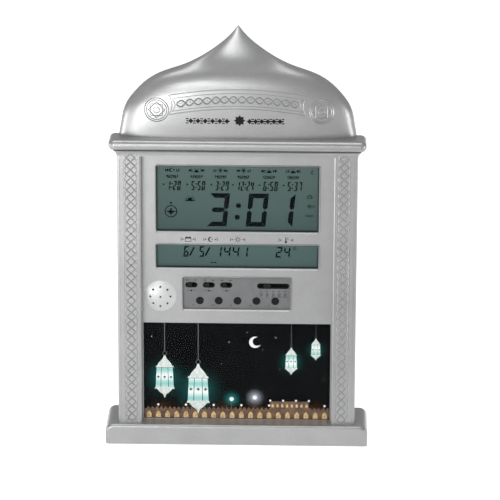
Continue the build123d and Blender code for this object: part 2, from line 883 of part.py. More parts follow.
selector_travel = selector_step * selector_steps
with BuildPart() as selector_body:
    add(switch_body(selector_centre, selector_z, selector_body_length, selector_travel))
selector_body.part.label = "selector_body"
export_step(selector_body.part, "parts/selector_body.step")

selector_rest = selector_centre - selector_travel / 2 + selector_rest_step * selector_step
with BuildPart() as selector_knob:
    add(switch_knob(selector_rest, selector_z, selector_knob_length))
selector_knob.part.label = "selector_knob"
export_step(selector_knob.part, "parts/selector_knob.step")


# ---- Loudspeaker behind its domed grille ----
speaker_plane = Plane.XY.move(Location((speaker_x, 0, speaker_z)))
speaker_axis = Axis((speaker_x, 0, speaker_z), (0, 1, 0))
grille_radius = grille_diameter / 2
spigot_radius = grille_spigot_diameter / 2
spigot_back = fascia_back + running_gap
dome_sphere = (grille_radius**2 + grille_rise**2) / (2 * grille_rise)
with BuildPart() as speaker_grille:
    with BuildSketch(speaker_plane):
        with BuildLine():
            RadiusArc((0, fascia_front - grille_rise), (grille_radius, fascia_front), -dome_sphere)
            Line((grille_radius, fascia_front), (spigot_radius, fascia_front))
            Line((spigot_radius, fascia_front), (spigot_radius, spigot_back))
            Line((spigot_radius, spigot_back), (spigot_radius - grille_wall, spigot_back))
            Line((spigot_radius - grille_wall, spigot_back), (spigot_radius - grille_wall, fascia_front))
            RadiusArc(
                (spigot_radius - grille_wall, fascia_front),
                (0, fascia_front - grille_rise + grille_wall),
                dome_sphere,
            )
            Line((0, fascia_front - grille_rise + grille_wall), (0, fascia_front - grille_rise))
        make_face()
    revolve(axis=speaker_axis)
    with BuildSketch(facing(fascia_front)):
        with Locations((speaker_x, speaker_z)):
            Circle(grille_hole_diameter / 2)
            with PolarLocations(grille_ring_diameter / 2, grille_ring_count):
                Circle(grille_hole_diameter / 2)
    extrude(amount=2 * grille_rise, both=True, mode=Mode.SUBTRACT)
speaker_grille.part.label = "speaker_grille"
export_step(speaker_grille.part, "parts/speaker_grille.step")

basket_front = fascia_back + gasket_thickness
basket_back = basket_front + basket_depth
mouth_radius = basket_mouth_diameter / 2
throat_radius = basket_throat_diameter / 2
with BuildPart() as speaker_gasket:
    with BuildSketch(facing(basket_front)):
        with Locations((speaker_x, speaker_z)):
            Circle(speaker_diameter / 2)
            Circle(spigot_radius + running_gap, mode=Mode.SUBTRACT)
    extrude(amount=gasket_thickness)
speaker_gasket.part.label = "speaker_gasket"
export_step(speaker_gasket.part, "parts/speaker_gasket.step")

with BuildPart() as speaker_basket:
    with BuildSketch(speaker_plane):
        with BuildLine():
            Polyline(
                (mouth_radius, basket_front),
                (speaker_diameter / 2, basket_front),
                (speaker_diameter / 2, clamp_front),
                (mouth_radius + basket_wall, clamp_front),
                (throat_radius + basket_wall, basket_back),
                (0, basket_back),
                (0, basket_back - basket_wall),
                (throat_radius, basket_back - basket_wall),
                (mouth_radius, clamp_front),
                close=True,
            )
        make_face()
    revolve(axis=speaker_axis)
speaker_basket.part.label = "speaker_basket"
export_step(speaker_basket.part, "parts/speaker_basket.step")

cone_rim = mouth_radius - seat_gap
coil_radius = cone_coil_diameter / 2
cone_root = basket_back - basket_wall
with BuildPart() as speaker_cone:
    with BuildSketch(speaker_plane):
        with BuildLine():
            Polyline(
                (cone_rim, basket_front + seat_gap),
                (cone_rim, basket_front + seat_gap + cone_thickness),
                (coil_radius, cone_root - 2 * cone_thickness),
                (coil_radius, cone_root),
                (coil_radius - cone_thickness, cone_root),
                (coil_radius - cone_thickness, cone_root - 3 * cone_thickness),
                close=True,
            )
        make_face()
    revolve(axis=speaker_axis)
speaker_cone.part.label = "speaker_cone"
export_step(speaker_cone.part, "parts/speaker_cone.step")

with BuildPart() as speaker_magnet:
    with BuildSketch(backing(basket_back)):
        with Locations((-speaker_x, speaker_z)):
            Circle(magnet_diameter / 2)
    extrude(amount=magnet_height)
    chamfer(speaker_magnet.faces().sort_by(Axis.Y)[-1].edges(), magnet_height / 8)
speaker_magnet.part.label = "speaker_magnet"
export_step(speaker_magnet.part, "parts/speaker_magnet.step")

clamp_back = clamp_front + clamp_thickness
with BuildPart() as speaker_clamp:
    with BuildSketch(facing(clamp_back)):
        with Locations((speaker_x, speaker_z)):
            Circle(speaker_diameter / 2)
            SlotCenterToCenter(2 * clamp_reach, post_diameter, rotation=45)
            Circle(mouth_radius + basket_wall + running_gap, mode=Mode.SUBTRACT)
        with Locations(*clamp_posts):
            Circle(screw_hole_diameter / 2, mode=Mode.SUBTRACT)
    extrude(amount=clamp_thickness)
speaker_clamp.part.label = "speaker_clamp"
export_step(speaker_clamp.part, "parts/speaker_clamp.step")


# ---- Rear case: plinth back, body cover and the back of the dome, with its fittings ----
rear_half = body_half - seam_step
bay_half = cell_diameter + cell_gap / 2 + bay_clearance
bay_length = cell_length + cell_nub_height + contact_room
bay_top = bay_bottom + bay_length
door_inner = body_back - door_thickness
rebate_floor = door_inner - seat_gap
bay_floor = rebate_floor - cell_diameter - bay_clearance
door_half = bay_half + door_overlap
door_bottom = bay_bottom - door_overlap
door_top = bay_top + door_overlap
pivot_y = body_back - door_thickness / 2
pivot_z = door_bottom + door_thickness / 2
socket_end = door_half + door_pin_length + running_gap
boss_depths = [plinth_half - case_wall / 2] * 2 + [body_back - case_wall / 2] * 2
boss_depths += [dome_boss_share * body_back]
with BuildPart() as rear_case:
    with BuildSketch(backing(0)):
        with Locations((0, (plinth_height / 2 + cornice_top) / 2)):
            Rectangle(2 * rear_half, cornice_top - plinth_height / 2)
    extrude(amount=body_back, taper=body_draft)
    fillet(rear_case.faces().sort_by(Axis.Y)[-1].edges(), plinth_edge_radius)
    add(plinth_part(1))
    add(rear_dome(0))
    add(rear_dome(case_wall), mode=Mode.SUBTRACT)
    add(
        pocket((case_wall - plinth_width / 2, 0, pad_drop + case_wall),
               (plinth_width / 2 - case_wall, plinth_half - case_wall, plinth_height - case_wall)),
        mode=Mode.SUBTRACT,
    )
    with BuildSketch(backing(0)):
        with Locations((0, (pad_drop + case_wall + cornice_top - case_wall - seam_step) / 2)):
            Rectangle(2 * (rear_half - case_wall), cornice_top - pad_drop - 2 * case_wall - seam_step)
    extrude(amount=rear_inner, taper=body_draft, mode=Mode.SUBTRACT)
    for (x, z), depth in zip(case_screw_places, boss_depths):
        add(round_bar(x, z, depth, 0, case_post_diameter))
        add(round_bar(x, z, plinth_depth, 0, case_screw_hole_diameter), mode=Mode.SUBTRACT)
        add(round_bar(x, z, plinth_depth, case_screw_seat, counterbore_diameter), mode=Mode.SUBTRACT)
    add(pocket((-bay_half - bay_wall, bay_floor - bay_wall, bay_bottom - bay_wall),
               (bay_half + bay_wall, rear_inner + case_wall / 2, bay_top + bay_wall)))
    add(pocket((-bay_half, bay_floor, bay_bottom), (bay_half, plinth_depth, bay_top)), mode=Mode.SUBTRACT)
    add(
        pocket((-door_half - door_gap, rebate_floor, door_bottom - door_gap),
               (door_half + door_gap, plinth_depth, door_top + door_gap)),
        mode=Mode.SUBTRACT,
    )
    with BuildSketch(Plane.YZ.offset(-socket_end)):
        with Locations((pivot_y, pivot_z)):
            Circle(door_pin_diameter / 2 + seat_gap)
    extrude(amount=2 * socket_end, mode=Mode.SUBTRACT)
    with BuildSketch(backing(rear_inner - seat_gap)):
        with Locations((-jack_x, jack_z)):
            Circle(jack_barrel_diameter / 2 + seat_gap)
        with Locations((-keyhole_x, keyhole_z), (keyhole_x, keyhole_z)):
            Circle(keyhole_diameter / 2)
        with Locations(
            (-keyhole_x, keyhole_z + keyhole_slot_rise / 2), (keyhole_x, keyhole_z + keyhole_slot_rise / 2)
        ):
            SlotOverall(keyhole_slot_rise + keyhole_slot_width, keyhole_slot_width, rotation=90)
        with Locations((-speaker_x, speaker_z)):
            with GridLocations(0, vent_pitch, 1, vent_count):
                SlotOverall(vent_length, vent_width)
    extrude(amount=plinth_depth, mode=Mode.SUBTRACT)
    with BuildSketch(Plane.XY.offset(pad_drop)):
        with Locations((0, plinth_half - pad_inset)):
            with GridLocations(plinth_width - 2 * pad_inset, 0, 2, 1):
                Circle(pad_diameter / 2 + seat_gap)
    extrude(amount=pad_pocket, mode=Mode.SUBTRACT)
rear_case.part.label = "rear_case"
export_step(rear_case.part, "parts/rear_case.step")


# ---- Battery door: turns on two pins moulded at its lower edge ----
with BuildPart() as battery_door:
    with BuildSketch(facing(body_back)):
        with Locations((0, (door_bottom + door_top) / 2)):
            Rectangle(2 * door_half, door_top - door_bottom)
    extrude(amount=door_thickness)
    hinge_edges = battery_door.edges().filter_by(Axis.X).group_by(Axis.Z)[0]
    fillet(hinge_edges, door_thickness / 2 - 0.01)
    with BuildSketch(Plane.YZ.offset(-door_half - door_pin_length)):
        with Locations((pivot_y, pivot_z)):
            Circle(door_pin_diameter / 2)
    extrude(amount=2 * (door_half + door_pin_length))
    with BuildSketch(backing(body_back)):
        with Locations((0, door_top - door_rib_drop)):
            with GridLocations(0, door_rib_pitch, 1, door_rib_count):
                SlotOverall(door_rib_length, door_rib_width)
    extrude(amount=door_rib_rise)
battery_door.part.label = "battery_door"
export_step(battery_door.part, "parts/battery_door.step")


# ---- Cells side by side, the second one upside down, and their contact leaves ----
cell_y = bay_floor + cell_diameter / 2
cell_x = cell_diameter / 2 + cell_gap / 2
cell_margin = (bay_length - cell_length - cell_nub_height) / 2
with BuildPart() as battery_cells:
    for side in (-1, 1):
        body_low = bay_bottom + cell_margin + (cell_nub_height if side > 0 else 0)
        nub_low = body_low - cell_nub_height if side > 0 else body_low + cell_length
        with BuildSketch(Plane.XY.offset(body_low)):
            with Locations((side * cell_x, cell_y)):
                Circle(cell_diameter / 2)
        extrude(amount=cell_length)
        with BuildSketch(Plane.XY.offset(nub_low)):
            with Locations((side * cell_x, cell_y)):
                Circle(cell_nub_diameter / 2)
        extrude(amount=cell_nub_height)
battery_cells.part.label = "battery_cells"
export_step(battery_cells.part, "parts/battery_cells.step")

leaf_low = cell_y - contact_width / 2
leaf_high = cell_y + contact_width / 2
with BuildPart() as battery_contacts:
    for end, out in ((bay_bottom, 1), (bay_top, -1)):
        for side in (-1, 1):
            with BuildSketch(Plane.YZ.offset(side * cell_x - contact_width / 2)):
                with BuildLine():
                    Polyline(
                        (leaf_low, end),
                        (leaf_high, end),
                        (leaf_high, end + out * 1.5 * contact_thickness),
                        (cell_y, end + out * cell_margin),
                        (leaf_low, end + out * 3 * contact_thickness),
                        (leaf_low, end + out * 2 * contact_thickness),
                        (cell_y, end + out * (cell_margin - contact_thickness)),
                        (leaf_high - 2 * contact_thickness, end + out * contact_thickness),
                        (leaf_low, end + out * contact_thickness),
                        close=True,
                    )
                make_face()
            extrude(amount=contact_width)
battery_contacts.part.label = "battery_contacts"
export_step(battery_contacts.part, "parts/battery_contacts.step")


# ---- Screws: pan heads that seat on a face towards the back ----
with BuildPart() as fascia_screws:
    for x, z in fascia_posts:
        add(screw(x, z, fascia_back, fascia_screw_length, screw_shank_diameter,
                  screw_head_diameter, screw_head_height))
fascia_screws.part.label = "fascia_screws"
export_step(fascia_screws.part, "parts/fascia_screws.step")

with BuildPart() as clamp_screws:
    for x, z in clamp_posts:
        add(screw(x, z, clamp_back, clamp_screw_length, screw_shank_diameter,
                  screw_head_diameter, screw_head_height))
clamp_screws.part.label = "clamp_screws"
export_step(clamp_screws.part, "parts/clamp_screws.step")

board_places = [(place, main_board_back) for place in main_posts]
board_places += [(place, key_board_back) for place in key_posts]
with BuildPart() as board_screws:
    for (x, z), seat in board_places:
        add(screw(x, z, seat, board_screw_length, screw_shank_diameter,
                  screw_head_diameter, screw_head_height))
board_screws.part.label = "board_screws"
export_step(board_screws.part, "parts/board_screws.step")

with BuildPart() as case_screws:
    for x, z in case_screw_places:
        add(screw(x, z, case_screw_seat, case_screw_length, case_screw_shank_diameter,
                  case_screw_head_diameter, case_screw_head_height))
case_screws.part.label = "case_screws"
export_step(case_screws.part, "parts/case_screws.step")


# ---- Rubber pads under the four corners of the plinth ----
with BuildPart() as rubber_pads:
    with BuildSketch(Plane.XY):
        with GridLocations(plinth_width - 2 * pad_inset, plinth_depth - 2 * pad_inset, 2, 2):
            Circle(pad_diameter / 2)
    extrude(amount=pad_drop + pad_pocket)
rubber_pads.part.label = "rubber_pads"
export_step(rubber_pads.part, "parts/rubber_pads.step")


# ---- Power inlet with its nut inside the rear wall ----
jack_mouth = body_back + jack_flange_thickness
jack_shoulder = body_back - jack_barrel_depth
with BuildPart() as power_jack:
    add(round_bar(jack_x, jack_z, jack_mouth, body_back, jack_flange_diameter))
    add(round_bar(jack_x, jack_z, body_back, jack_shoulder, jack_barrel_diameter))
    with BuildSketch(facing(jack_shoulder)):
        with Locations((jack_x, jack_z)):
            Rectangle(jack_body_width, jack_body_width)
    extrude(amount=jack_body_depth)
    add(round_bar(jack_x, jack_z, jack_mouth, jack_mouth - jack_bore_depth, jack_bore_diameter),
        mode=Mode.SUBTRACT)
    add(round_bar(jack_x, jack_z, jack_mouth - jack_pin_recess, jack_mouth - jack_bore_depth,
                  jack_pin_diameter))
power_jack.part.label = "power_jack"
export_step(power_jack.part, "parts/power_jack.step")

with BuildPart() as jack_nut:
    with BuildSketch(facing(rear_inner)):
        with Locations((jack_x, jack_z)):
            RegularPolygon(jack_nut_width / 2, 6, major_radius=False)
            Circle(jack_barrel_diameter / 2 + seat_gap, mode=Mode.SUBTRACT)
    extrude(amount=jack_nut_thickness)
jack_nut.part.label = "jack_nut"
export_step(jack_nut.part, "parts/jack_nut.step")


# ---- Leads to the main board and the ribbon between the two boards ----
landing_z = main_board_bottom + lead_landing
lead_y = main_board_back + lead_slack
speaker_lead_x = speaker_x + (magnet_diameter + basket_throat_diameter + 2 * basket_wall) / 4
with BuildPart() as speaker_lead:
    add(lead((speaker_lead_x, basket_back, speaker_z), (speaker_lead_x, lead_y, speaker_z),
             (speaker_lead_x, lead_y, landing_z), (speaker_lead_x, main_board_back, landing_z)))
speaker_lead.part.label = "speaker_lead"
export_step(speaker_lead.part, "parts/speaker_lead.step")

jack_end = jack_shoulder - jack_body_depth
with BuildPart() as jack_lead:
    add(lead((jack_x, jack_end, jack_z), (jack_x, lead_y, jack_z),
             (jack_x, lead_y, landing_z), (jack_x, main_board_back, landing_z)))
jack_lead.part.label = "jack_lead"
export_step(jack_lead.part, "parts/jack_lead.step")

with BuildPart() as battery_leads:
    for side in (-1, 1):
        add(lead((side * cell_x, cell_y, bay_top + bay_wall), (side * cell_x, cell_y, landing_z),
                 (side * cell_x, main_board_back, landing_z)))
battery_leads.part.label = "battery_leads"
export_step(battery_leads.part, "parts/battery_leads.step")

ribbon_low = control_top - lead_landing
ribbon_back = key_board_back + ribbon_rise
with BuildPart() as board_ribbon:
    with BuildSketch(Plane.YZ.offset(-cell_x - lead_landing - ribbon_width)):
        with BuildLine():
            Polyline(
                (key_board_back, ribbon_low),
                (ribbon_back, ribbon_low),
                (ribbon_back, landing_z),
                (main_board_back, landing_z),
                (main_board_back, landing_z - ribbon_thickness),
                (ribbon_back - ribbon_thickness, landing_z - ribbon_thickness),
                (ribbon_back - ribbon_thickness, ribbon_low + ribbon_thickness),
                (key_board_back, ribbon_low + ribbon_thickness),
                close=True,
            )
        make_face()
    extrude(amount=ribbon_width)
    fillet(board_ribbon.edges().filter_by(Axis.X).group_by(Axis.Y)[-1], 2 * ribbon_thickness)
board_ribbon.part.label = "board_ribbon"
export_step(board_ribbon.part, "parts/board_ribbon.step")
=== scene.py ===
# %% [markdown]
# # A mosque-shaped prayer clock
# The clock is a silver-painted plastic case with a domed roof, two liquid crystal displays, a row
# of controls, a small loudspeaker and a printed picture behind a clear cover. Its solids come from
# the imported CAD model. This lesson paints those solids and adds what a solid model leaves out: the
# raised braid on the columns, the relief on the dome, the display digits and the prints.

# %% Load the CAD model
import math

import bmesh
import bpy
from mathutils import Matrix, Vector
from mathutils.bvhtree import BVHTree


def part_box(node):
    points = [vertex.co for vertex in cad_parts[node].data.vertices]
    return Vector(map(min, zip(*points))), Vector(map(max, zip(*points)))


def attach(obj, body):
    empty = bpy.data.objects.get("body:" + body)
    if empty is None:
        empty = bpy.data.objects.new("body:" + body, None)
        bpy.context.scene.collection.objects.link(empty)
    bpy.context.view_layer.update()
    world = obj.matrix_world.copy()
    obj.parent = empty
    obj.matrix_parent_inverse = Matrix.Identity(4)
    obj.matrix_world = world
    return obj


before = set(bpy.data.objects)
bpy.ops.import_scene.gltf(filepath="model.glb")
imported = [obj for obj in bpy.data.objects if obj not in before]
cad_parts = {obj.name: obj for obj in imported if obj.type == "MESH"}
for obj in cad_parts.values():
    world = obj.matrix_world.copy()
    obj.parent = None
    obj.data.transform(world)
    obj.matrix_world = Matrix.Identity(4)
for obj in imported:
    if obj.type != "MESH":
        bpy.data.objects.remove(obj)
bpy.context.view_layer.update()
MM = 0.001

# %% [markdown]
# ## The camera
# A product picture is taken from far away with a long lens, so that upright lines stay upright. A
# wide lens close by would show the same parts but bend the case outwards. The camera stands
# 2.6 m off, looks 18 degrees down and a little from the left, and leans by a quarter of a degree.

# %% Camera
look_down = math.radians(18.0)
look_aside = math.radians(1.07)
lean = math.radians(0.262)
aim = Vector((9.6, 0.0, 152.4)) * MM
standoff = 2.625
lens_mm = 245.95

camera_data = bpy.data.cameras.new("camera")
camera_data.lens = lens_mm
camera_data.sensor_width = 36.0
camera_data.clip_start = 0.1
camera_data.clip_end = 60.0
camera = bpy.data.objects.new("camera", camera_data)
bpy.context.collection.objects.link(camera)
turn = Matrix.Rotation(look_aside, 4, "Z") @ Matrix.Rotation(math.pi / 2 - look_down, 4, "X")
turn = turn @ Matrix.Rotation(lean, 4, "Z")
sight = turn.to_3x3() @ Vector((0, 0, -1))
camera.matrix_world = Matrix.Translation(aim - sight * standoff) @ turn
bpy.context.scene.camera = camera
bpy.context.scene.view_settings.view_transform = "Standard"
print("camera at", [round(v, 3) for v in camera.matrix_world.translation])

# %% [markdown]
# ## Small tools for nodes
# A finish is a handful of nodes: a place on the object, a pattern over it, and a shader that the
# pattern steers. Building each by hand in the editor works, but the same few steps come back in
# every finish, so they are written once here: making a finish, adding a node and joining two.

# %% Helpers for nodes


def screen_colour(red, green, blue):
    """The linear colour of a screen colour given as three numbers up to 255."""
    linear = [((v / 255 + 0.055) / 1.055) ** 2.4 if v > 10 else v / 255 / 12.92
              for v in (red, green, blue)]
    return (*linear, 1.0)


def new_finish(name):
    """An empty node material; its shader is the node called Principled BSDF."""
    finish = bpy.data.materials.new(name)
    finish.use_nodes = True
    return finish


def shader_of(finish):
    return finish.node_tree.nodes["Principled BSDF"]


def add_node(finish, kind, **settings):
    node = finish.node_tree.nodes.new("ShaderNode" + kind)
    for name, value in settings.items():
        setattr(node, name, value)
    return node


def join(finish, source, socket):
    finish.node_tree.links.new(source, socket)


def surface_socket(finish):
    """Where the finished shader goes, for a finish that isn't a single Principled BSDF."""
    return finish.node_tree.nodes["Material Output"].inputs["Surface"]


def worked(finish, operation, *values):
    """The result of a Math node; each value may be a number or the output of a node."""
    node = add_node(finish, "Math", operation=operation)
    for socket, value in zip(node.inputs, values):
        if isinstance(value, (int, float)):
            socket.default_value = value
        else:
            join(finish, value, socket)
    return node.outputs[0]


print("node helpers ready")

# %% [markdown]
# ## Small tools for patterns
# No moulded or painted surface is one flat colour: it has cloudy patches, a grain and a gloss that
# varies. A picture wrapped round each part could show that, but noise worked out at each point
# needs no picture and fits any shape. All patterns read Object coordinates, so they stay put when
# a part moves or is exported.

# %% Helpers for patterns


def place_on(finish, stretch=(1.0, 1.0, 1.0)):
    """Object coordinates, in metres, with a pattern squeezed along an axis where stretch is high."""
    mapping = add_node(finish, "Mapping")
    mapping.inputs["Scale"].default_value = stretch
    join(finish, add_node(finish, "TexCoord").outputs["Object"], mapping.inputs["Vector"])
    return mapping.outputs["Vector"]


def axes_of(finish):
    """Object coordinates as three separate outputs, called X, Y and Z."""
    split = add_node(finish, "SeparateXYZ")
    join(finish, place_on(finish), split.inputs["Vector"])
    return split.outputs


def clouds(finish, size, detail=2.0, stretch=(1.0, 1.0, 1.0)):
    """Soft noise with blobs about size millimetres wide."""
    noise = add_node(finish, "TexNoise")
    noise.inputs["Scale"].default_value = 1 / (size * MM)
    noise.inputs["Detail"].default_value = detail
    join(finish, place_on(finish, stretch), noise.inputs["Vector"])
    return noise.outputs["Fac"]


def spread(finish, pattern, low, high, start=0.3, end=0.7):
    """Carries the values start to end of a pattern over to low to high."""
    span = add_node(finish, "MapRange")
    span.inputs["From Min"].default_value = start
    span.inputs["From Max"].default_value = end
    span.inputs["To Min"].default_value = low
    span.inputs["To Max"].default_value = high
    join(finish, pattern, span.inputs["Value"])
    return span.outputs["Result"]


def two_tone(finish, pattern, dark, light):
    """Mixes two colours by a pattern; each may be a colour or the output of a node."""
    mix = add_node(finish, "Mix", data_type="RGBA")
    join(finish, pattern, mix.inputs["Factor"])
    for socket, colour in ((mix.inputs[6], dark), (mix.inputs[7], light)):
        if isinstance(colour, tuple):
            socket.default_value = colour
        else:
            join(finish, colour, socket)
    return mix.outputs[2]


def relief(finish, pattern, depth, under=None):
    """A bump of depth millimetres, on top of the bump under it."""
    bump = add_node(finish, "Bump")
    bump.inputs["Distance"].default_value = depth * MM
    join(finish, pattern, bump.inputs["Height"])
    if under is not None:
        join(finish, under, bump.inputs["Normal"])
    return bump.outputs["Normal"]


print("pattern helpers ready")

# %% [markdown]
# ## One recipe for plain materials
# Plastic, rubber, metal and ink differ in colour, gloss and grain, but they are built alike: two
# near colours in cloudy patches, an uneven gloss and a fine raised grain. So one recipe with
# different numbers makes them all, and only the special surfaces get a recipe of their own.

# %% Recipe for plain materials


def moulded(name, dark, light, rough, grain, grain_depth, metallic=0.0, patch=9.0,
            stretch=(1.0, 1.0, 1.0), specular=0.5):
    """A solid-coloured finish: patches of two near colours, uneven gloss and a fine grain."""
    finish = new_finish(name)
    shader = shader_of(finish)
    patches = clouds(finish, patch, 3.0, stretch)
    fine = clouds(finish, grain, 2.0, stretch)
    shade = two_tone(finish, spread(finish, patches, 0.0, 1.0), dark, light)
    join(finish, shade, shader.inputs["Base Color"])
    join(finish, spread(finish, fine, *rough), shader.inputs["Roughness"])
    join(finish, relief(finish, fine, grain_depth), shader.inputs["Normal"])
    shader.inputs["Metallic"].default_value = metallic
    shader.inputs["Specular IOR Level"].default_value = specular
    return finish


print("plain recipe ready")

# %% [markdown]
# ## The floor
# The clock stands on a white studio sweep, which is a sheet of paper or cloth so wide that its
# ends are never seen. It could be curved up into a wall behind, but the camera looks down on the
# clock and sees nothing but floor, so one flat grid is enough.

# %% Floor
floor_half = 20.0
floor_mesh = bmesh.new()
bmesh.ops.create_grid(floor_mesh, x_segments=2, y_segments=2, size=floor_half)
floor_data = bpy.data.meshes.new("floor")
floor_mesh.to_mesh(floor_data)
floor_mesh.free()
floor = bpy.data.objects.new("floor", floor_data)
bpy.context.collection.objects.link(floor)
print("floor", 2 * floor_half, "m wide")

# %% [markdown]
# ## Finish of the floor
# A white floor lit to full white would need so much light that the case burns out, so the floor
# gives a part of its white itself, but only to the camera and to rays that mirrors and glass
# send. The upright faces of the case mirror the floor in front of them, so its own light there
# shades them from left to right: strongest at the far left and none just right of the middle.
# Behind the clock it is an even white. The rest comes from the lamps, and that part still darkens
# where the clock keeps the light away, which is its soft shadow.

# %% Finish of the floor
floor_white = screen_colour(244, 244, 244)
floor_shade = screen_colour(240, 240, 240)
floor_patch = 600.0
own_light_behind = (0.67, 0.67, 0.67, 1.0)
front_end, behind_start = -0.26, -0.12
ramp_reach = 1.0
# place across the floor in metres, and the light given off there
front_light_plan = (
    (-0.70, 2.20), (-0.40, 1.70), (-0.22, 0.90), (-0.10, 0.60),
    (0.10, 0.00), (0.40, 0.00), (0.80, 0.60),
)


def seen_rays(finish):
    """1 for rays from the camera or sent on by a mirror or glass, and 0 for light that scatters."""
    rays = add_node(finish, "LightPath").outputs
    seen = worked(finish, "MAXIMUM", rays["Is Camera Ray"], rays["Is Glossy Ray"])
    return worked(finish, "MAXIMUM", seen, rays["Is Transmission Ray"])


def light_in_front(finish, across):
    """The floor's own light in front of the clock, by the place across it."""
    ramp = add_node(finish, "ValToRGB")
    join(finish, spread(finish, across, 0.0, 1.0, -ramp_reach, ramp_reach), ramp.inputs["Fac"])
    stops = ramp.color_ramp.elements
    for number, (x, level) in enumerate(front_light_plan):
        share = (x + ramp_reach) / (2 * ramp_reach)
        stop = stops[number] if number < 2 else stops.new(share)
        stop.position = share
        stop.color = (level, level, level, 1.0)
    return ramp.outputs["Color"]


sweep = new_finish("white_sweep")
sweep_shader = shader_of(sweep)
sweep_shader.inputs["Roughness"].default_value = 0.9
sweep_shader.inputs["Specular IOR Level"].default_value = 0.1
join(sweep, two_tone(sweep, clouds(sweep, floor_patch), floor_white, floor_shade),
     sweep_shader.inputs["Base Color"])
sweep_place = axes_of(sweep)
from_behind = spread(sweep, sweep_place["Y"], 0.0, 1.0, front_end, behind_start)
own_light = two_tone(sweep, from_behind, light_in_front(sweep, sweep_place["X"]), own_light_behind)
sweep_light = add_node(sweep, "Emission")
join(sweep, own_light, sweep_light.inputs["Color"])
join(sweep, seen_rays(sweep), sweep_light.inputs["Strength"])
sweep_sum = add_node(sweep, "AddShader")
join(sweep, sweep_shader.outputs[0], sweep_sum.inputs[0])
join(sweep, sweep_light.outputs[0], sweep_sum.inputs[1])
join(sweep, sweep_sum.outputs[0], surface_socket(sweep))
floor_data.materials.append(sweep)
print("floor finish:", sweep.name)

# %% [markdown]
# ## Studio light
# A silver case shows the lamps as much as its own colour, so the lamps are large and soft. A
# softbox hangs overhead and a little in front, a low wide panel stands at the left front, and
# four weaker cards lift the front of the dome, its neck and the two sides. The room round them is
# a mid grey, because a dark room would turn the edges of the dome black. Small lamps would put
# hard spots on the dome instead of long soft streaks.

# %% Lamps and room
room_grey = 0.42
# name, place and target, width and height in metres, and power in watts
lamp_plan = (
    ("overhead_softbox", (-0.15, -0.26, 1.60), (-0.15, -0.02, 0.20), 1.30, 0.60, 8.0),
    ("left_key", (-0.50, -1.08, 0.12), (0.0, 0.0, 0.27), 0.56, 0.20, 4.6),
    ("front_card", (-0.10, -1.90, 0.58), (0.0, 0.0, 0.31), 0.30, 0.24, 1.4),
    ("neck_card", (-0.28, -1.25, 0.66), (0.0, 0.0, 0.31), 0.34, 0.28, 2.7),
    ("left_card", (-0.90, -0.08, 0.14), (0.0, 0.0, 0.17), 0.45, 0.26, 1.4),
    ("right_card", (0.85, -0.26, 0.18), (0.0, 0.0, 0.25), 0.34, 0.32, 1.5),
)
for lamp_name, spot, target, width, height, watts in lamp_plan:
    lamp = bpy.data.lights.new(lamp_name, "AREA")
    lamp.shape = "RECTANGLE"
    lamp.size = width
    lamp.size_y = height
    lamp.energy = watts
    holder = bpy.data.objects.new(lamp_name, lamp)
    toward = Vector(target) - Vector(spot)
    facing = toward.to_track_quat("-Z", "Y").to_matrix().to_4x4()
    holder.matrix_world = Matrix.Translation(spot) @ facing
    bpy.context.collection.objects.link(holder)

room = bpy.data.worlds.new("room")
room.use_nodes = True
room_light = room.node_tree.nodes["Background"]
room_light.inputs["Color"].default_value = (room_grey, room_grey, room_grey, 1.0)
bpy.context.scene.world = room
print("lamps:", [plan[0] for plan in lamp_plan])

# %% [markdown]
# ## Silver paint
# The case is moulded in plastic and sprayed with a fine metal-flake paint. Seen close, the flakes
# differ a little in brightness, the lacquer has a slight orange peel, and the coat is a touch
# duller where it lies thicker. A mirror-like metal would look like chrome, so the shader is only
# partly metallic and quite rough, under a thin coat for the lacquer. The loudspeaker's grille
# wears a paler paint with less metal in it.

# %% Silver paint
flake_size = 0.16
flake_share = 0.16
flake_colour = screen_colour(236, 238, 240)
spray_patch = 26.0
haze_size = 1.1
peel_size, peel_depth = 1.4, 0.006
dust_size, dust_depth = 0.22, 0.002


def flake_paint(name, dark, light, rough, metallic, lacquer):
    """Metal-flake paint: bright and dull flakes over slow patches, under a lacquer with peel."""
    paint = new_finish(name)
    shader = shader_of(paint)
    flakes = add_node(paint, "TexVoronoi")
    flakes.inputs["Scale"].default_value = 1 / (flake_size * MM)
    join(paint, place_on(paint), flakes.inputs["Vector"])
    glint = add_node(paint, "SeparateColor")
    join(paint, flakes.outputs["Color"], glint.inputs["Color"])
    patches = spread(paint, clouds(paint, spray_patch, 3.0), 0.0, 1.0)
    flaked = two_tone(paint, spread(paint, glint.outputs["Red"], 0.0, flake_share, 0.0, 1.0),
                      two_tone(paint, patches, dark, light), flake_colour)
    join(paint, flaked, shader.inputs["Base Color"])
    join(paint, spread(paint, clouds(paint, haze_size, 3.0), *rough), shader.inputs["Roughness"])
    peel = relief(paint, clouds(paint, peel_size, 2.0), peel_depth)
    join(paint, relief(paint, clouds(paint, dust_size, 1.0), dust_depth, peel), shader.inputs["Normal"])
    shader.inputs["Metallic"].default_value = metallic
    shader.inputs["Coat Weight"].default_value = lacquer
    shader.inputs["Coat Roughness"].default_value = 0.16
    return paint


silver_paint = flake_paint("silver_paint", screen_colour(139, 139, 139),
                           screen_colour(149, 149, 149), (0.30, 0.38), 0.60, 0.32)
grille_paint = flake_paint("grille_paint", screen_colour(184, 185, 185),
                           screen_colour(194, 195, 195), (0.38, 0.46), 0.25, 0.1)
print("silver paints:", silver_paint.name, grille_paint.name)

# %% [markdown]
# ## Clear parts
# The lenses and the picture cover are cut from clear acrylic sheet. Real glass in the renderer
# bends and blocks the lamp light, which leaves what lies behind it dark. A sheet this thin hardly
# bends anything, so its shader lets light straight through and only mirrors a little, more at a
# flat angle, by Fresnel. Its rear faces mirror nothing, because the print lies against them.

# %% Clear acrylic
clear_tint = (0.97, 0.98, 0.98, 1.0)


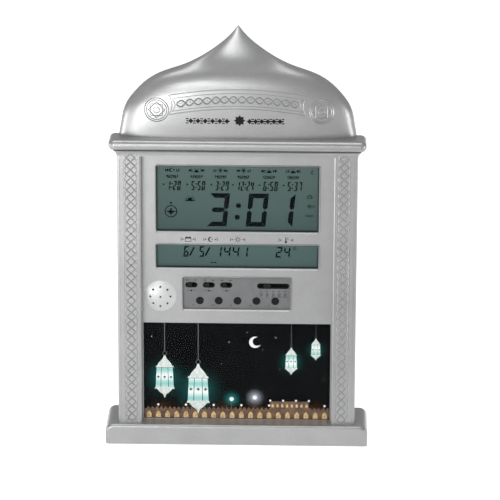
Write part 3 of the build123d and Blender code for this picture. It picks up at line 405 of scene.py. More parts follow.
def clear_sheet(name, gloss_low, gloss_high):
    """A thin clear sheet that mirrors a little from the front and lets the rest through."""
    sheet = new_finish(name)
    sheet.node_tree.nodes.remove(shader_of(sheet))
    through = add_node(sheet, "BsdfTransparent")
    through.inputs["Color"].default_value = clear_tint
    mirror = add_node(sheet, "BsdfAnisotropic")
    mirror.inputs["Color"].default_value = (1.0, 1.0, 1.0, 1.0)
    gloss = spread(sheet, clouds(sheet, 4.0, 3.0), gloss_low, gloss_high)
    join(sheet, gloss, mirror.inputs["Roughness"])
    edge_on = add_node(sheet, "Fresnel")
    edge_on.inputs["IOR"].default_value = 1.12
    rear_face = add_node(sheet, "NewGeometry").outputs["Backfacing"]
    front_face = worked(sheet, "SUBTRACT", 1.0, rear_face)
    mix = add_node(sheet, "MixShader")
    join(sheet, worked(sheet, "MULTIPLY", edge_on.outputs[0], front_face), mix.inputs[0])
    join(sheet, through.outputs[0], mix.inputs[1])
    join(sheet, mirror.outputs[0], mix.inputs[2])
    join(sheet, mix.outputs[0], surface_socket(sheet))
    return sheet


clear_acrylic = clear_sheet("clear_acrylic", 0.03, 0.07)
print("clear sheet:", clear_acrylic.name)

# %% [markdown]
# ## Where the windows are
# Each display is seen through a window in the fascia, and the lens behind it laps the fascia all
# round. The windows' sizes could be typed in again, but the lenses are already in the CAD model,
# so the sizes are read from their boxes. A part that is made larger there then fits here too.

# %% Sizes of the windows
lens_lap = 2.0


def cad_box(node):
    """Lowest and highest corner of a solid of the CAD model, in millimetres."""
    return [[round(v / MM, 3) for v in corner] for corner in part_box(node)]


def window_of(lens):
    """Half the width, the lower edge and the upper edge of the window that a lens closes."""
    low, high = cad_box(lens)
    return high[0] - lens_lap, low[2] + lens_lap, high[2] - lens_lap


main_window = window_of("main_lens")
date_window = window_of("date_lens")
print("windows, half width and edges:", main_window, date_window)

# %% [markdown]
# ## Display glass
# A liquid crystal display is two panes with a grey-green polariser in front. It is dull and has a
# faint grain. Its colour carries painted shade: it is painted a little darker towards its lower
# edge, and a dark band round its border is the painted shadow of the deep window. The display could
# be given a picture of its face, but the digits here are real plates in front of the glass, so
# the glass itself needs only its colour, its painted shade from top to bottom and its painted shadow.

# %% Display glass
# width and colour of the painted shadow that the deep window casts round the display's border
recess_shadow_reach = 1.6
recess_shadow_ink = screen_colour(30, 40, 40)
grain_ink = screen_colour(44, 56, 54)


def recess_shadow_of(finish, place, half_width, low_z, high_z):
    """1 at the border of a window, where the painted shadow of its recess lies, and 0 further in than
    that shadow reaches.
    """
    aside = worked(finish, "ABSOLUTE", place["X"])
    inner_half = half_width - recess_shadow_reach
    ends = spread(finish, aside, 0.0, 1.0, inner_half * MM, half_width * MM)
    foot = spread(finish, place["Z"], 1.0, 0.0, low_z * MM, (low_z + recess_shadow_reach) * MM)
    head = spread(finish, place["Z"], 0.0, 1.0, (high_z - recess_shadow_reach) * MM, high_z * MM)
    return worked(finish, "MAXIMUM", worked(finish, "MAXIMUM", ends, foot), head)


def display_pane(name, top, foot, window):
    """Polariser of a window, painted darker from top to foot as painted shade, with a painted recess
    shadow round its border.
    """
    pane = new_finish(name)
    shader = shader_of(pane)
    place = axes_of(pane)
    half_width, low_z, high_z = window
    # painted shade: the colour darkens from the top of the window to its foot
    plain = two_tone(pane, spread(pane, place["Z"], 0.0, 1.0, low_z * MM, high_z * MM), foot, top)
    grain = clouds(pane, 0.5, 2.0, (1.0, 1.0, 3.0))
    grained = two_tone(pane, spread(pane, grain, 0.0, 0.10), plain, grain_ink)
    # painted shadow of the window's recess: a dark band round the border
    recess_shadowed = two_tone(pane, recess_shadow_of(pane, place, half_width, low_z, high_z), grained, recess_shadow_ink)
    join(pane, recess_shadowed, shader.inputs["Base Color"])
    join(pane, spread(pane, clouds(pane, 3.0, 2.0), 0.50, 0.60), shader.inputs["Roughness"])
    join(pane, relief(pane, grain, 0.002), shader.inputs["Normal"])
    shader.inputs["Specular IOR Level"].default_value = 0.05
    return pane


# colours at the top and at the foot of each pane; the darker foot is painted shade
main_pane = display_pane("main_pane", screen_colour(88, 107, 103), screen_colour(72, 90, 87),
                         main_window)
date_pane = display_pane("date_pane", screen_colour(84, 106, 104), screen_colour(76, 96, 94),
                         date_window)
print("display panes:", main_pane.name, date_pane.name)

# %% [markdown]
# ## Plastics, metals, rubber and boards
# The smaller parts are of everyday materials, and each has its own grain: spark-eroded plastic,
# brushed or plated metal, dusty rubber, woven board. One recipe with different sizes and colours
# covers most of them, so it is called here once for each.

# %% Finishes of the smaller parts
panel_grey = moulded("panel_grey", screen_colour(102, 103, 104), screen_colour(112, 113, 114),
                     (0.42, 0.56), 0.35, 0.006, metallic=0.3)
key_black = moulded("key_black", screen_colour(13, 13, 14), screen_colour(20, 20, 21),
                    (0.34, 0.46), 0.4, 0.004, specular=0.15)
knob_black = moulded("knob_black", screen_colour(12, 12, 13), screen_colour(18, 18, 19),
                     (0.42, 0.55), 0.3, 0.006, specular=0.2)
inlet_black = moulded("inlet_black", screen_colour(22, 22, 23), screen_colour(32, 32, 33),
                      (0.35, 0.50), 0.5, 0.006)
frosted_guide = moulded("frosted_guide", screen_colour(214, 222, 222), screen_colour(232, 238, 238),
                        (0.45, 0.60), 0.6, 0.005)
bright_steel = moulded("bright_steel", screen_colour(168, 170, 172), screen_colour(196, 198, 200),
                       (0.20, 0.36), 0.3, 0.003, metallic=1.0, stretch=(1.0, 4.0, 1.0))
switch_black = moulded("switch_black", screen_colour(14, 14, 15), screen_colour(20, 20, 21),
                       (0.45, 0.60), 0.5, 0.004, specular=0.1)
switch_metal = moulded("switch_metal", screen_colour(150, 152, 152), screen_colour(176, 178, 178),
                       (0.28, 0.42), 0.5, 0.004, metallic=1.0, stretch=(0.3, 3.0, 3.0))
strip_rubber = moulded("strip_rubber", screen_colour(38, 38, 40), screen_colour(150, 134, 128),
                       (0.60, 0.75), 0.4, 0.004, patch=0.25, stretch=(3.0, 1.0, 0.2))
pad_rubber = moulded("pad_rubber", screen_colour(26, 26, 27), screen_colour(44, 44, 44),
                     (0.70, 0.88), 0.5, 0.015, patch=3.0)
chip_black = moulded("chip_black", screen_colour(16, 16, 17), screen_colour(26, 26, 28),
                     (0.18, 0.34), 2.0, 0.030)
cone_paper = moulded("cone_paper", screen_colour(42, 40, 38), screen_colour(62, 58, 54),
                     (0.75, 0.92), 0.35, 0.020, patch=1.2)
magnet_grey = moulded("magnet_grey", screen_colour(58, 58, 62), screen_colour(76, 76, 80),
                      (0.50, 0.70), 0.4, 0.008, metallic=0.3)
emitter_white = moulded("emitter_white", screen_colour(232, 228, 206), screen_colour(246, 244, 228),
                        (0.35, 0.50), 0.4, 0.004)
capacitor_blue = moulded("capacitor_blue", screen_colour(24, 34, 66), screen_colour(34, 46, 84),
                         (0.22, 0.36), 0.8, 0.004)
lead_red = moulded("lead_red", screen_colour(150, 20, 20), screen_colour(172, 30, 26),
                   (0.38, 0.50), 0.5, 0.005)
lead_black = moulded("lead_black", screen_colour(20, 20, 20), screen_colour(32, 32, 32),
                     (0.38, 0.50), 0.5, 0.005)
ribbon_grey = moulded("ribbon_grey", screen_colour(150, 150, 148), screen_colour(186, 186, 184),
                      (0.45, 0.60), 0.4, 0.006, patch=0.9, stretch=(1.0, 0.05, 0.05))
print("finishes so far:", len(bpy.data.materials))

# %% [markdown]
# ## Circuit boards
# A cheap clock's boards are green-coated fibreglass with copper tracks that shine through as a
# paler green. The tracks could be drawn one by one, but nobody sees them on this clock, so a
# brick-shaped pattern broken up by noise stands for the rows of tracks.

# %% Circuit board
track_pitch = 12.0
track_share = 0.05
weave_size, weave_depth = 0.4, 0.004

board_green = new_finish("board_green")
board_shader = shader_of(board_green)
tracks = add_node(board_green, "TexBrick")
tracks.inputs["Scale"].default_value = 1 / (track_pitch * MM)
tracks.inputs["Mortar Size"].default_value = track_share
tracks.inputs["Color1"].default_value = screen_colour(14, 70, 40)
tracks.inputs["Color2"].default_value = screen_colour(18, 82, 46)
tracks.inputs["Mortar"].default_value = screen_colour(52, 128, 78)
board_turn = add_node(board_green, "Mapping")
board_turn.inputs["Rotation"].default_value = (math.pi / 2, 0.0, 0.0)
join(board_green, place_on(board_green), board_turn.inputs["Vector"])
join(board_green, board_turn.outputs["Vector"], tracks.inputs["Vector"])
weave = clouds(board_green, weave_size)
board_shade = two_tone(board_green, spread(board_green, weave, 0.0, 0.25),
                       tracks.outputs["Color"], screen_colour(10, 48, 28))
join(board_green, board_shade, board_shader.inputs["Base Color"])
join(board_green, spread(board_green, weave, 0.24, 0.38), board_shader.inputs["Roughness"])
join(board_green, relief(board_green, weave, weave_depth), board_shader.inputs["Normal"])
print("board:", board_green.name)

# %% [markdown]
# ## Cell sleeves
# The two cells wear a printed sleeve: a black body with a copper-coloured band towards the plus
# end. Rings of colour round an upright cylinder need only its height, so the pattern reads Z.

# %% Cell sleeves
copper_from = 70.0

cell_wrap = new_finish("cell_wrap")
wrap_shader = shader_of(cell_wrap)
on_band = worked(cell_wrap, "GREATER_THAN", axes_of(cell_wrap)["Z"], copper_from * MM)
wrap_grain = clouds(cell_wrap, 1.5, 3.0)
wrap_copper = two_tone(cell_wrap, wrap_grain, screen_colour(176, 112, 58), screen_colour(196, 134, 76))
wrap_black = two_tone(cell_wrap, wrap_grain, screen_colour(18, 18, 20), screen_colour(30, 30, 32))
join(cell_wrap, two_tone(cell_wrap, on_band, wrap_black, wrap_copper), wrap_shader.inputs["Base Color"])
join(cell_wrap, spread(cell_wrap, wrap_grain, 0.22, 0.34), wrap_shader.inputs["Roughness"])
wrap_shader.inputs["Metallic"].default_value = 0.3
print("cells:", cell_wrap.name)

# %% [markdown]
# ## The night picture
# Behind the lower cover lies a printed card with a scene at night: hanging lanterns and street
# lamps that glow in a black sky above a lit arcade. The sky and its glows are soft, so they are
# worked out in the card's material: around each lamp, the brightness falls with the distance from
# it. The lanterns and the arcade have edges, so they are thin plates on the card, made below.

# %% Night card
# place of each lantern's middle, and its size
lantern_plan = (
    (-56.0, 50.0, 1.25),
    (-30.0, 40.0, 1.45),
    (42.0, 64.0, 0.80),
    (61.0, 74.0, 0.64),
)
teal_glow = screen_colour(40, 150, 146)
white_glow = screen_colour(206, 212, 226)
amber_glow = screen_colour(120, 78, 36)
street_lamps = ((-4.0, 33.0, teal_glow), (14.0, 34.5, white_glow))
street_reach = 9.5
lantern_reach, lantern_strength = 17.0, 0.55
arcade_glows = (-58.0, -34.0, -10.0, 14.0, 38.0, 60.0)
arcade_glow_z, arcade_reach, arcade_strength = 20.0, 17.0, 0.55
glow_fade = 2.6

night_card = new_finish("night_card")
card_shader = shader_of(night_card)
card_point = place_on(night_card, (1.0, 0.0, 1.0))


def glow_on(under, x, z, reach, colour, strength):
    """Lightens the card round one lamp, in millimetres."""
    away = add_node(night_card, "VectorMath", operation="DISTANCE")
    join(night_card, card_point, away.inputs[0])
    away.inputs[1].default_value = (x * MM, 0.0, z * MM)
    near = spread(night_card, away.outputs["Value"], 1.0, 0.0, 0.0, reach * MM)
    level = worked(night_card, "MULTIPLY", worked(night_card, "POWER", near, glow_fade), strength)
    return two_tone(night_card, level, under, colour)


sky = two_tone(night_card, spread(night_card, clouds(night_card, 30.0, 3.0), 0.0, 1.0),
               screen_colour(1, 2, 3), screen_colour(6, 7, 9))
for lantern_x, lantern_z, lantern_size in lantern_plan:
    sky = glow_on(sky, lantern_x, lantern_z, lantern_reach * lantern_size, teal_glow, lantern_strength)
for lamp_x, lamp_z, lamp_glow in street_lamps:
    sky = glow_on(sky, lamp_x, lamp_z, street_reach, lamp_glow, 1.0)
for warm_x in arcade_glows:
    sky = glow_on(sky, warm_x, arcade_glow_z, arcade_reach, amber_glow, arcade_strength)
join(night_card, sky, card_shader.inputs["Base Color"])
join(night_card, spread(night_card, clouds(night_card, 0.6), 0.30, 0.42), card_shader.inputs["Roughness"])
card_shader.inputs["Specular IOR Level"].default_value = 0.03
print("glows on the card:", len(lantern_plan) + len(street_lamps) + len(arcade_glows))

# %% [markdown]
# ## Painting the CAD solids
# Each solid of the model gets its finish by its name. The names of a family, such as the push
# buttons, start alike, so one entry serves for all of them.

# %% Finish of every solid
finish_of = {
    "front_case": silver_paint, "fascia_panel": silver_paint, "rear_case": silver_paint,
    "battery_door": silver_paint, "speaker_grille": grille_paint, "control_plate": panel_grey,
    "push_button": key_black, "slide_knob": knob_black, "selector_knob": knob_black,
    "power_jack": inlet_black, "main_lens": clear_acrylic, "date_lens": clear_acrylic,
    "picture_cover": clear_acrylic, "main_display": main_pane, "date_display": date_pane,
    "main_light_guide": frosted_guide, "date_light_guide": frosted_guide,
    "picture_print": night_card, "main_board": board_green, "key_board": board_green,
    "main_chip": chip_black, "quartz_crystal": bright_steel, "capacitors": capacitor_blue,
    "temperature_sensor": chip_black, "contact_strips": strip_rubber, "backlight_leds": emitter_white,
    "tact_switches": inlet_black, "slide_switch_bodies": switch_black, "selector_body": switch_black,
    "speaker_gasket": pad_rubber, "speaker_basket": bright_steel, "speaker_cone": cone_paper,
    "speaker_magnet": magnet_grey, "speaker_clamp": switch_metal, "battery_cells": cell_wrap,
    "battery_contacts": bright_steel, "fascia_screws": bright_steel, "clamp_screws": bright_steel,
    "board_screws": bright_steel, "case_screws": bright_steel, "rubber_pads": pad_rubber,
    "jack_nut": bright_steel, "speaker_lead": lead_black, "jack_lead": lead_black,
    "battery_leads": lead_red, "board_ribbon": ribbon_grey,
}
for node_name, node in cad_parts.items():
    family = max((key for key in finish_of if node_name.startswith(key)), key=len)
    node.data.materials.clear()
    node.data.materials.append(finish_of[family])
print("solids painted:", len(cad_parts))

# %% [markdown]
# ## Lines on a surface
# Most of what the clock wears is a line or a flat shape laid on a surface: braid in a channel,
# rings on a dome, digits on glass. A line could be a curve object with a round bevel, but then it
# would not lean with the dome. So a short profile is pushed along a path, edge by edge, and the
# surface tells its point and its outward direction at each place.

# %% Helpers for lines
# across the line and away from the surface, as shares of its half width and its height
round_profile = ((-1.0, -0.2), (-0.8, 0.55), (0.0, 1.0), (0.8, 0.55), (1.0, -0.2))
flat_profile = ((-1.0, -0.5), (-1.0, 1.0), (1.0, 1.0), (1.0, -0.5))


def flat_at(y):
    """A plane that faces the front at depth y."""
    def spot(x, z):
        return Vector((x, y, z)), Vector((0, -1, 0))
    return spot


def stations_along(path, surface, closed=False):
    """Places along a path on a surface, each with its own across, along and outward directions."""
    spots = [surface(x, z) for x, z in path]
    count = len(spots)
    places = []
    for i, (point, outward) in enumerate(spots):
        before = spots[(i - 1) % count if closed else max(i - 1, 0)][0]
        after = spots[(i + 1) % count if closed else min(i + 1, count - 1)][0]
        across = (after - before).cross(outward).normalized()
        along = outward.cross(across)
        axes = Matrix((across, along, outward)).transposed().to_4x4()
        places.append(Matrix.Translation(point) @ axes)
    return places


def stroke(shape, path, surface, width, height, profile=round_profile, closed=False):
    """Pushes a profile along a path by extruding its edges from station to station."""
    places = stations_along(path, surface, closed)
    corners = [shape.verts.new(places[0] @ Vector((x * width / 2, 0, z * height))) for x, z in profile]
    first = [shape.edges.new(pair) for pair in zip(corners, corners[1:])]
    strip = first
    for here, there in zip(places, places[1:]):
        grown = bmesh.ops.extrude_edge_only(shape, edges=strip)["geom"]
        moved = {item for item in grown if isinstance(item, bmesh.types.BMVert)}
        bmesh.ops.transform(shape, matrix=there @ here.inverted(), verts=list(moved))
        strip = [item for item in grown if isinstance(item, bmesh.types.BMEdge)
                 and item.verts[0] in moved and item.verts[1] in moved]
    if closed:
        bmesh.ops.bridge_loops(shape, edges=strip + first)
        return
    for rim in (first, strip):
        bmesh.ops.contextual_create(shape, geom=list({vert for edge in rim for vert in edge.verts}))


print("profiles:", len(round_profile), "and", len(flat_profile), "points")

# %% [markdown]
# ## Flat shapes on a surface
# A print, a digit or a lantern is a flat shape with hardly any thickness. An image could show it,
# but a thin plate keeps its edge sharp at any distance. One face is drawn and given a thickness
# towards the surface, and the outlines used most, such as circles, stars and bars, are worked out
# by short functions.

# %% Helpers for flat shapes


def plate(shape, outline, surface, height, sink=0.02):
    """A flat shape with the given outline, raised by height above a surface and sunk a little in."""
    corners = []
    for x, z in outline:
        point, outward = surface(x, z)
        corners.append(shape.verts.new(point + outward * height))
    face = shape.faces.new(corners)
    grown = bmesh.ops.extrude_face_region(shape, geom=[face])["geom"]
    lower = [item for item in grown if isinstance(item, bmesh.types.BMVert)]
    bmesh.ops.translate(shape, vec=(0, height + sink, 0), verts=lower)


def circle_path(x, z, radius, count=32, start=0.0, end=360.0):
    """Points of a circle, or of an arc between two angles, seen from the front."""
    whole = end - start >= 360.0
    steps = count if whole else count - 1
    angles = [math.radians(start + (end - start) * i / steps) for i in range(count)]
    return [(x + radius * math.cos(a), z + radius * math.sin(a)) for a in angles]


def star_path(x, z, outer, inner, points, turned=0.0):
    """Outline of a star, which is a lozenge with two points."""
    outline = []
    for i in range(2 * points):
        reach = inner if i % 2 else outer
        angle = math.pi * i / points + math.radians(90.0 + turned)
        outline.append((x + reach * math.cos(angle), z + reach * math.sin(angle)))
    return outline


def bar_path(x0, z0, x1, z1, width):
    """Outline of a straight bar between two points."""
    run = Vector((x1 - x0, z1 - z0)).normalized()
    side = Vector((-run.y, run.x)) * width / 2
    return [(x0 - side.x, z0 - side.y), (x1 - side.x, z1 - side.y),
            (x1 + side.x, z1 + side.y), (x0 + side.x, z0 + side.y)]


def level_bar(x, z, half, width):
    """Outline of a level bar round a middle point."""
    return bar_path(x - half, z, x + half, z, width)


def box_path(left, low, right, high):
    return [(left, low), (right, low), (right, high), (left, high)]


def divided(corners, steps):
    """A closed outline with each of its sides cut into equal steps."""
    path = []
    for (x0, z0), (x1, z1) in zip(corners, corners[1:] + corners[:1]):
        path += [(x0 + (x1 - x0) * k / steps, z0 + (z1 - z0) * k / steps) for k in range(steps)]
    return path


print("a circle has", len(circle_path(0.0, 0.0, 1.0)), "points unless told otherwise")

# %% [markdown]
# ## From a drawn shape to a piece
# Shapes are drawn in millimetres, because that is how a clock is measured, and Blender's scene is
# in metres. So each shape is merged, turned outwards and scaled once at its end. Its object stays
# at the origin with its place in the mesh, and it rides on the body that carries it.

# %% Helper for pieces
merge_distance = 0.0005
sharp_angle = math.radians(40.0)


def make_piece(shape, name, finish, body="case"):
    """Closes a shape drawn in millimetres, brings it to metres and lets it ride on a body."""
    bmesh.ops.remove_doubles(shape, verts=shape.verts, dist=merge_distance)
    bmesh.ops.recalc_face_normals(shape, faces=shape.faces)
    bmesh.ops.scale(shape, vec=(MM, MM, MM), verts=shape.verts)
    data = bpy.data.meshes.new(name)
    shape.to_mesh(data)
    shape.free()
    data.materials.append(finish)
    data.shade_smooth()
    data.set_sharp_from_angle(angle=sharp_angle)
    piece = bpy.data.objects.new(name, data)
    bpy.context.collection.objects.link(piece)
    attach(piece, body)
    print(name, len(data.polygons), "faces")


# %% [markdown]
# ## Braid on the columns
# Each column has a sunk channel that a flat braid fills and slightly overlaps. Four cords make it:
# two swing from edge to edge and cross in the middle, and two bow out from the middle to either
# edge and back. They lie on a thin bed, so that no dark gap shows under them. The braid repeats
# all the way up, so one length is drawn and then copied.

# %% Braid
channel_x, channel_half = 81.1, 3.75
channel_floor = -16.0
bed_low, bed_high, bed_height = 18.6, 229.4, 0.40
braid_level = -16.45
braid_low, braid_high = 17.2, 233.2
braid_half = 4.4
braid_count = 17
braid_pitch = (braid_high - braid_low) / braid_count
cord_steps = 8
cord_width, cord_height = 1.10, 0.40
cord_profile = ((-1.0, -0.3), (-0.5, 0.6), (0.0, 1.0), (0.5, 0.6), (1.0, -0.3))


def column_braid(side):
    """Braid and bed of the column at one side, which is -1 for the left and 1 for the right."""
    braid = bmesh.new()
    for way in (-1, 1):
        crossing, bowed = [], []
        for i in range(cord_steps + 1):
            angle = math.pi * i / cord_steps
            height = braid_low + i / cord_steps * braid_pitch
            reach = way * braid_half
            crossing.append((side * channel_x - reach * math.cos(angle), height))
            bowed.append((side * channel_x + reach * math.sin(angle), height))
        for cord in (crossing, bowed):
            stroke(braid, cord, flat_at(braid_level), cord_width, cord_height, cord_profile)
    length = list(braid.verts) + list(braid.edges) + list(braid.faces)
    for i in range(1, braid_count):
        copied = bmesh.ops.duplicate(braid, geom=length)["geom"]
        points = [item for item in copied if isinstance(item, bmesh.types.BMVert)]
        bmesh.ops.translate(braid, vec=(0, 0, i * braid_pitch), verts=points)
    bed = bar_path(side * channel_x, bed_low, side * channel_x, bed_high, 2 * channel_half)
    plate(braid, bed, flat_at(channel_floor), bed_height)
    return braid


for side, side_name in ((-1, "left"), (1, "right")):
    make_piece(column_braid(side), "column_braid_" + side_name, silver_paint)

# %% [markdown]
# ## Surface of the dome
# The dome carries a shallow raised frame across its front with an interlaced band in it, and a
# round medallion at each end. They follow the dome, so each point of a line is found by sending a
# ray at the dome from the front, and the outward direction comes from the rays just beside it.

# %% Surface of the dome
dome_tree = BVHTree.FromObject(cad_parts["front_case"], bpy.context.evaluated_depsgraph_get())
ray_start = -100.0
feel = 0.8


def dome_depth(x, z):
    """Depth of the dome's front at a place, in millimetres."""
    hit = dome_tree.ray_cast(Vector((x, ray_start, z)) * MM, Vector((0, 1, 0)))[0]
    return hit.y / MM


def on_dome(x, z):
    """Point and outward direction of the dome's front at a place."""
    across = Vector((2 * feel, dome_depth(x + feel, z) - dome_depth(x - feel, z), 0))
    upwards = Vector((0, dome_depth(x, z + feel) - dome_depth(x, z - feel), 2 * feel))
    outward = across.cross(upwards).normalized()
    return Vector((x, dome_depth(x, z), z)), outward


print("dome front at its middle:", round(dome_depth(0, 270), 2))

# %% [markdown]
# ## Frame of the band
# The frame is two closed lines, one in the other, that sag towards both ends with the dome and
# have hollow ends, where the medallions bite into it. A sag that grows with the square of the
# distance from the middle is close to an arc and easy to write.

# %% Frame of the band
band_drop = 0.00195
end_hollow = 2.4
end_steps = 8
line_points = 44
# middle of the upper and the lower line, half the width, and the line's width and height
band_lines = (
    (283.9, 268.9, 52.0, 0.75, 0.34),
    (281.0, 271.2, 49.6, 0.55, 0.26),
)


def band_arc(middle_z, half_width):
    """Line of the band, from left to right, with its middle at a given height."""
    xs = [half_width * (2 * i / (line_points - 1) - 1) for i in range(line_points)]
    return [(x, middle_z - band_drop * x * x) for x in xs]


band = bmesh.new()
for top_z, foot_z, half_width, line_width, line_height in band_lines:
    middle_z = (top_z + foot_z) / 2 - band_drop * half_width * half_width
    right_end = []
    for i in range(1, end_steps):
        lift = 1 - 2 * i / end_steps
        hollow = end_hollow * (1 - lift * lift)
        right_end.append((half_width - hollow, middle_z + lift * (top_z - foot_z) / 2))
    left_end = [(-x, z) for x, z in reversed(right_end)]
    loop = band_arc(top_z, half_width) + right_end + band_arc(foot_z, half_width)[::-1] + left_end
    stroke(band, loop, on_dome, line_width, line_height, closed=True)
make_piece(band, "dome_frame", silver_paint)

# %% [markdown]
# ## Interlace in the frame
# Inside the frame runs an old and common ornament: two waves that cross again and again, with a
# lozenge in each eye. It is drawn with the same stroke as the frame, only wider and higher, so
# that it catches the light as the strongest line on the dome.

# %% Interlace
wave_half = 46.0
wave_count = 7
wave_steps = 20
wave_height = 2.5
wave_middle = 276.1
wave_line_width, wave_line_height = 1.25, 0.75
eye_pitch = 2 * wave_half / wave_count / 2
eye_outer, eye_inner, eye_height = 1.15, 0.62, 0.50

interlace = bmesh.new()
for way in (-1, 1):
    wave = []
    for i in range(wave_count * wave_steps + 1):
        x = wave_half * (2 * i / (wave_count * wave_steps) - 1)
        swing = math.sin(math.pi * (x + wave_half) / eye_pitch)
        wave.append((x, wave_middle - band_drop * x * x + way * wave_height * swing))
    stroke(interlace, wave, on_dome, wave_line_width, wave_line_height)
for i in range(2 * wave_count):
    x = -wave_half + (i + 0.5) * eye_pitch
    z = wave_middle - band_drop * x * x
    plate(interlace, star_path(x, z, eye_outer, eye_inner, 4), on_dome, eye_height)
make_piece(interlace, "dome_interlace", silver_paint)

# %% [markdown]
# ## Medallions
# Each medallion is a double ring round an eight-pointed rosette, which is two squares laid over
# each other with a small ring and a boss in the middle. Each square is one closed line with extra
# points along its sides, so that it bends with the dome.

# %% Medallions
# radius of each ring, points round it, and the line's width and height
medallion_rings = ((9.1, 48, 0.9, 0.52), (7.6, 44, 0.7, 0.42))
square_radius, square_steps, square_width, square_height = 6.3, 6, 0.8, 0.46
boss_ring = (2.3, 24, 0.6, 0.34)
boss_radius, boss_height = 1.0, 0.45


def ring_on_dome(shape, x, z, radius, points, width, height):
    stroke(shape, circle_path(x, z, radius, points), on_dome, width, height, closed=True)


for side_name, centre_x, centre_z in (("left", -61.3, 267.1), ("right", 63.5, 266.4)):
    medallion = bmesh.new()
    for ring in medallion_rings:
        ring_on_dome(medallion, centre_x, centre_z, *ring)
    for turned in (0.0, 45.0):
        corners = star_path(centre_x, centre_z, square_radius, square_radius, 2, turned)
        stroke(medallion, divided(corners, square_steps), on_dome, square_width, square_height,
               closed=True)
    ring_on_dome(medallion, centre_x, centre_z, *boss_ring)
    plate(medallion, circle_path(centre_x, centre_z, boss_radius, 12), on_dome, boss_height)
    make_piece(medallion, "dome_medallion_" + side_name, silver_paint)

# %% [markdown]
# ## Printed ornament below the band
# A clock like this usually has a line of black print below the band. Here it is a plain row of
# lozenges, bars and dots on either side of an eight-pointed star. Print has almost no thickness,
# so the shapes stand only a twelfth of a millimetre off the paint.

# %% Printed ornament
print_black = moulded("print_black", screen_colour(14, 14, 15), screen_colour(22, 22, 23),
                      (0.40, 0.55), 0.3, 0.002, specular=0.15)
ornament_z = 259.2
ink_height = 0.08
row_count = 6
bar_rise, bar_half, bar_width = 1.75, 1.1, 0.8

ornament = bmesh.new()
plate(ornament, star_path(1.6, ornament_z + 0.6, 4.4, 3.0, 8), on_dome, ink_height)
for side, inner, outer in ((-1, 5.2, 38.0), (1, 6.8, 34.4)):
    pitch = (outer - inner) / row_count
    for i in range(row_count):
        x = side * (inner + (i + 0.5) * pitch)
        plate(ornament, star_path(x, ornament_z, 2.3, 1.35, 4), on_dome, ink_height)
        edge = x + side * pitch / 2
        plate(ornament, star_path(edge, ornament_z, 0.7, 0.7, 4), on_dome, ink_height)
        for z in (ornament_z - bar_rise, ornament_z + bar_rise):
            plate(ornament, level_bar(edge, z, bar_half, bar_width), on_dome, ink_height)
make_piece(ornament, "dome_ornament", print_black)

# %% [markdown]
# ## Polariser films
# On the front of each display glass is glued a thin grey-green film, the polariser, which is what
# one really sees of a display. The picture's card likewise wears its printed sheet. Both are made
# as their own thin plates, so that no face of the lens lies in the same plane as the one behind it.

# %% Films and printed sheet
film_thickness = 0.06
sheet_margin = 0.1
glass_depth = cad_box("main_display")[0][1]
card_low, card_high = cad_box("picture_print")
card_depth = card_low[1]
sheet_half = card_high[0] - sheet_margin
sheet_foot = card_low[2] + sheet_margin
sheet_top = card_high[2] - sheet_margin


def film(name, half_width, low_z, high_z, back, finish):
    """A thin sheet whose back lies at a given depth."""
    sheet = bmesh.new()
    outline = box_path(-half_width, low_z, half_width, high_z)
    plate(sheet, outline, flat_at(back), film_thickness, 0.0)
    make_piece(sheet, name, finish)


film("main_polariser", 63.6, 168.0, 223.2, glass_depth, main_pane)
film("date_polariser", 63.6, 138.8, 160.2, glass_depth, date_pane)
film("picture_sheet", sheet_half, sheet_foot, sheet_top, card_depth, night_card)

# %% [markdown]
# ## Digits of the displays
# The digits are made of seven segments with mitred ends and a slant. Each segment is a flat face
# with a thickness of a few hundredths of a millimetre, just in front of the display glass. The
# darkened crystal lies inside the real glass, but plates in front of it look the same and stay
# sharp.

# %% Seven segments
lit_segments = {"0": "abcdef", "1": "bc", "2": "abged", "3": "abgcd", "4": "fgbc", "5": "afgcd",
                "6": "afgedc", "7": "abc", "8": "abcdefg", "9": "abcdfg"}
slant = 0.10
segment_height = 0.04
display_front = flat_at(glass_depth - film_thickness)


def segment_paths(width, height, thick, gap):
    """Outlines of the seven segments of an upright digit, by letter."""
    mid = height / 2
    half = thick / 2
    slit = 0.3 * gap
    right_top = [(width, height - slit), (width, mid + 0.35 * thick + gap), (width - half, mid + gap),
                 (width - thick, mid + half + gap), (width - thick, height - thick - slit)]
    top = [(slit, height), (width - slit, height), (width - thick - slit, height - thick),
           (thick + slit, height - thick)]
    middle = [(half + gap, mid), (thick + gap, mid + half), (width - thick - gap, mid + half),
              (width - half - gap, mid), (width - thick - gap, mid - half), (thick + gap, mid - half)]

    def flipped(path):
        return [(x, height - z) for x, z in reversed(path)]

    def mirrored(path):
        return [(width - x, z) for x, z in reversed(path)]

    return {"a": top, "b": right_top, "c": flipped(right_top), "d": flipped(top),
            "e": mirrored(flipped(right_top)), "f": mirrored(right_top), "g": middle}


def write_digit(shape, figure, left, foot, width, height, thick, gap):
    for letter, path in segment_paths(width, height, thick, gap).items():
        if letter in lit_segments[figure]:
            outline = [(left + x + slant * z, foot + z) for x, z in path]
            plate(shape, outline, display_front, segment_height)


segment_ink = moulded("segment_ink", screen_colour(10, 15, 17), screen_colour(16, 22, 24),
                      (0.60, 0.70), 0.4, 0.001, specular=0.0)
print("figures known:", "".join(lit_segments))

# %% [markdown]
# ## Readings
# A reading is a row of digits with colons or strokes between them. They could be placed one by
# one, but each display gives its readings a fixed room. So every sign gets a share of that room,
# and the digits come out as wide as they can be.

# %% Helper for readings
sign_shares = {":": 0.42, "/": 0.75}
end_gap = 0.22
digit_share = 0.76
gap_share = 0.12
colon_x, colon_levels, colon_size = 0.1, (0.3, 0.7), 0.58
stroke_run, stroke_foot, stroke_head = 0.5, 0.1, 0.9


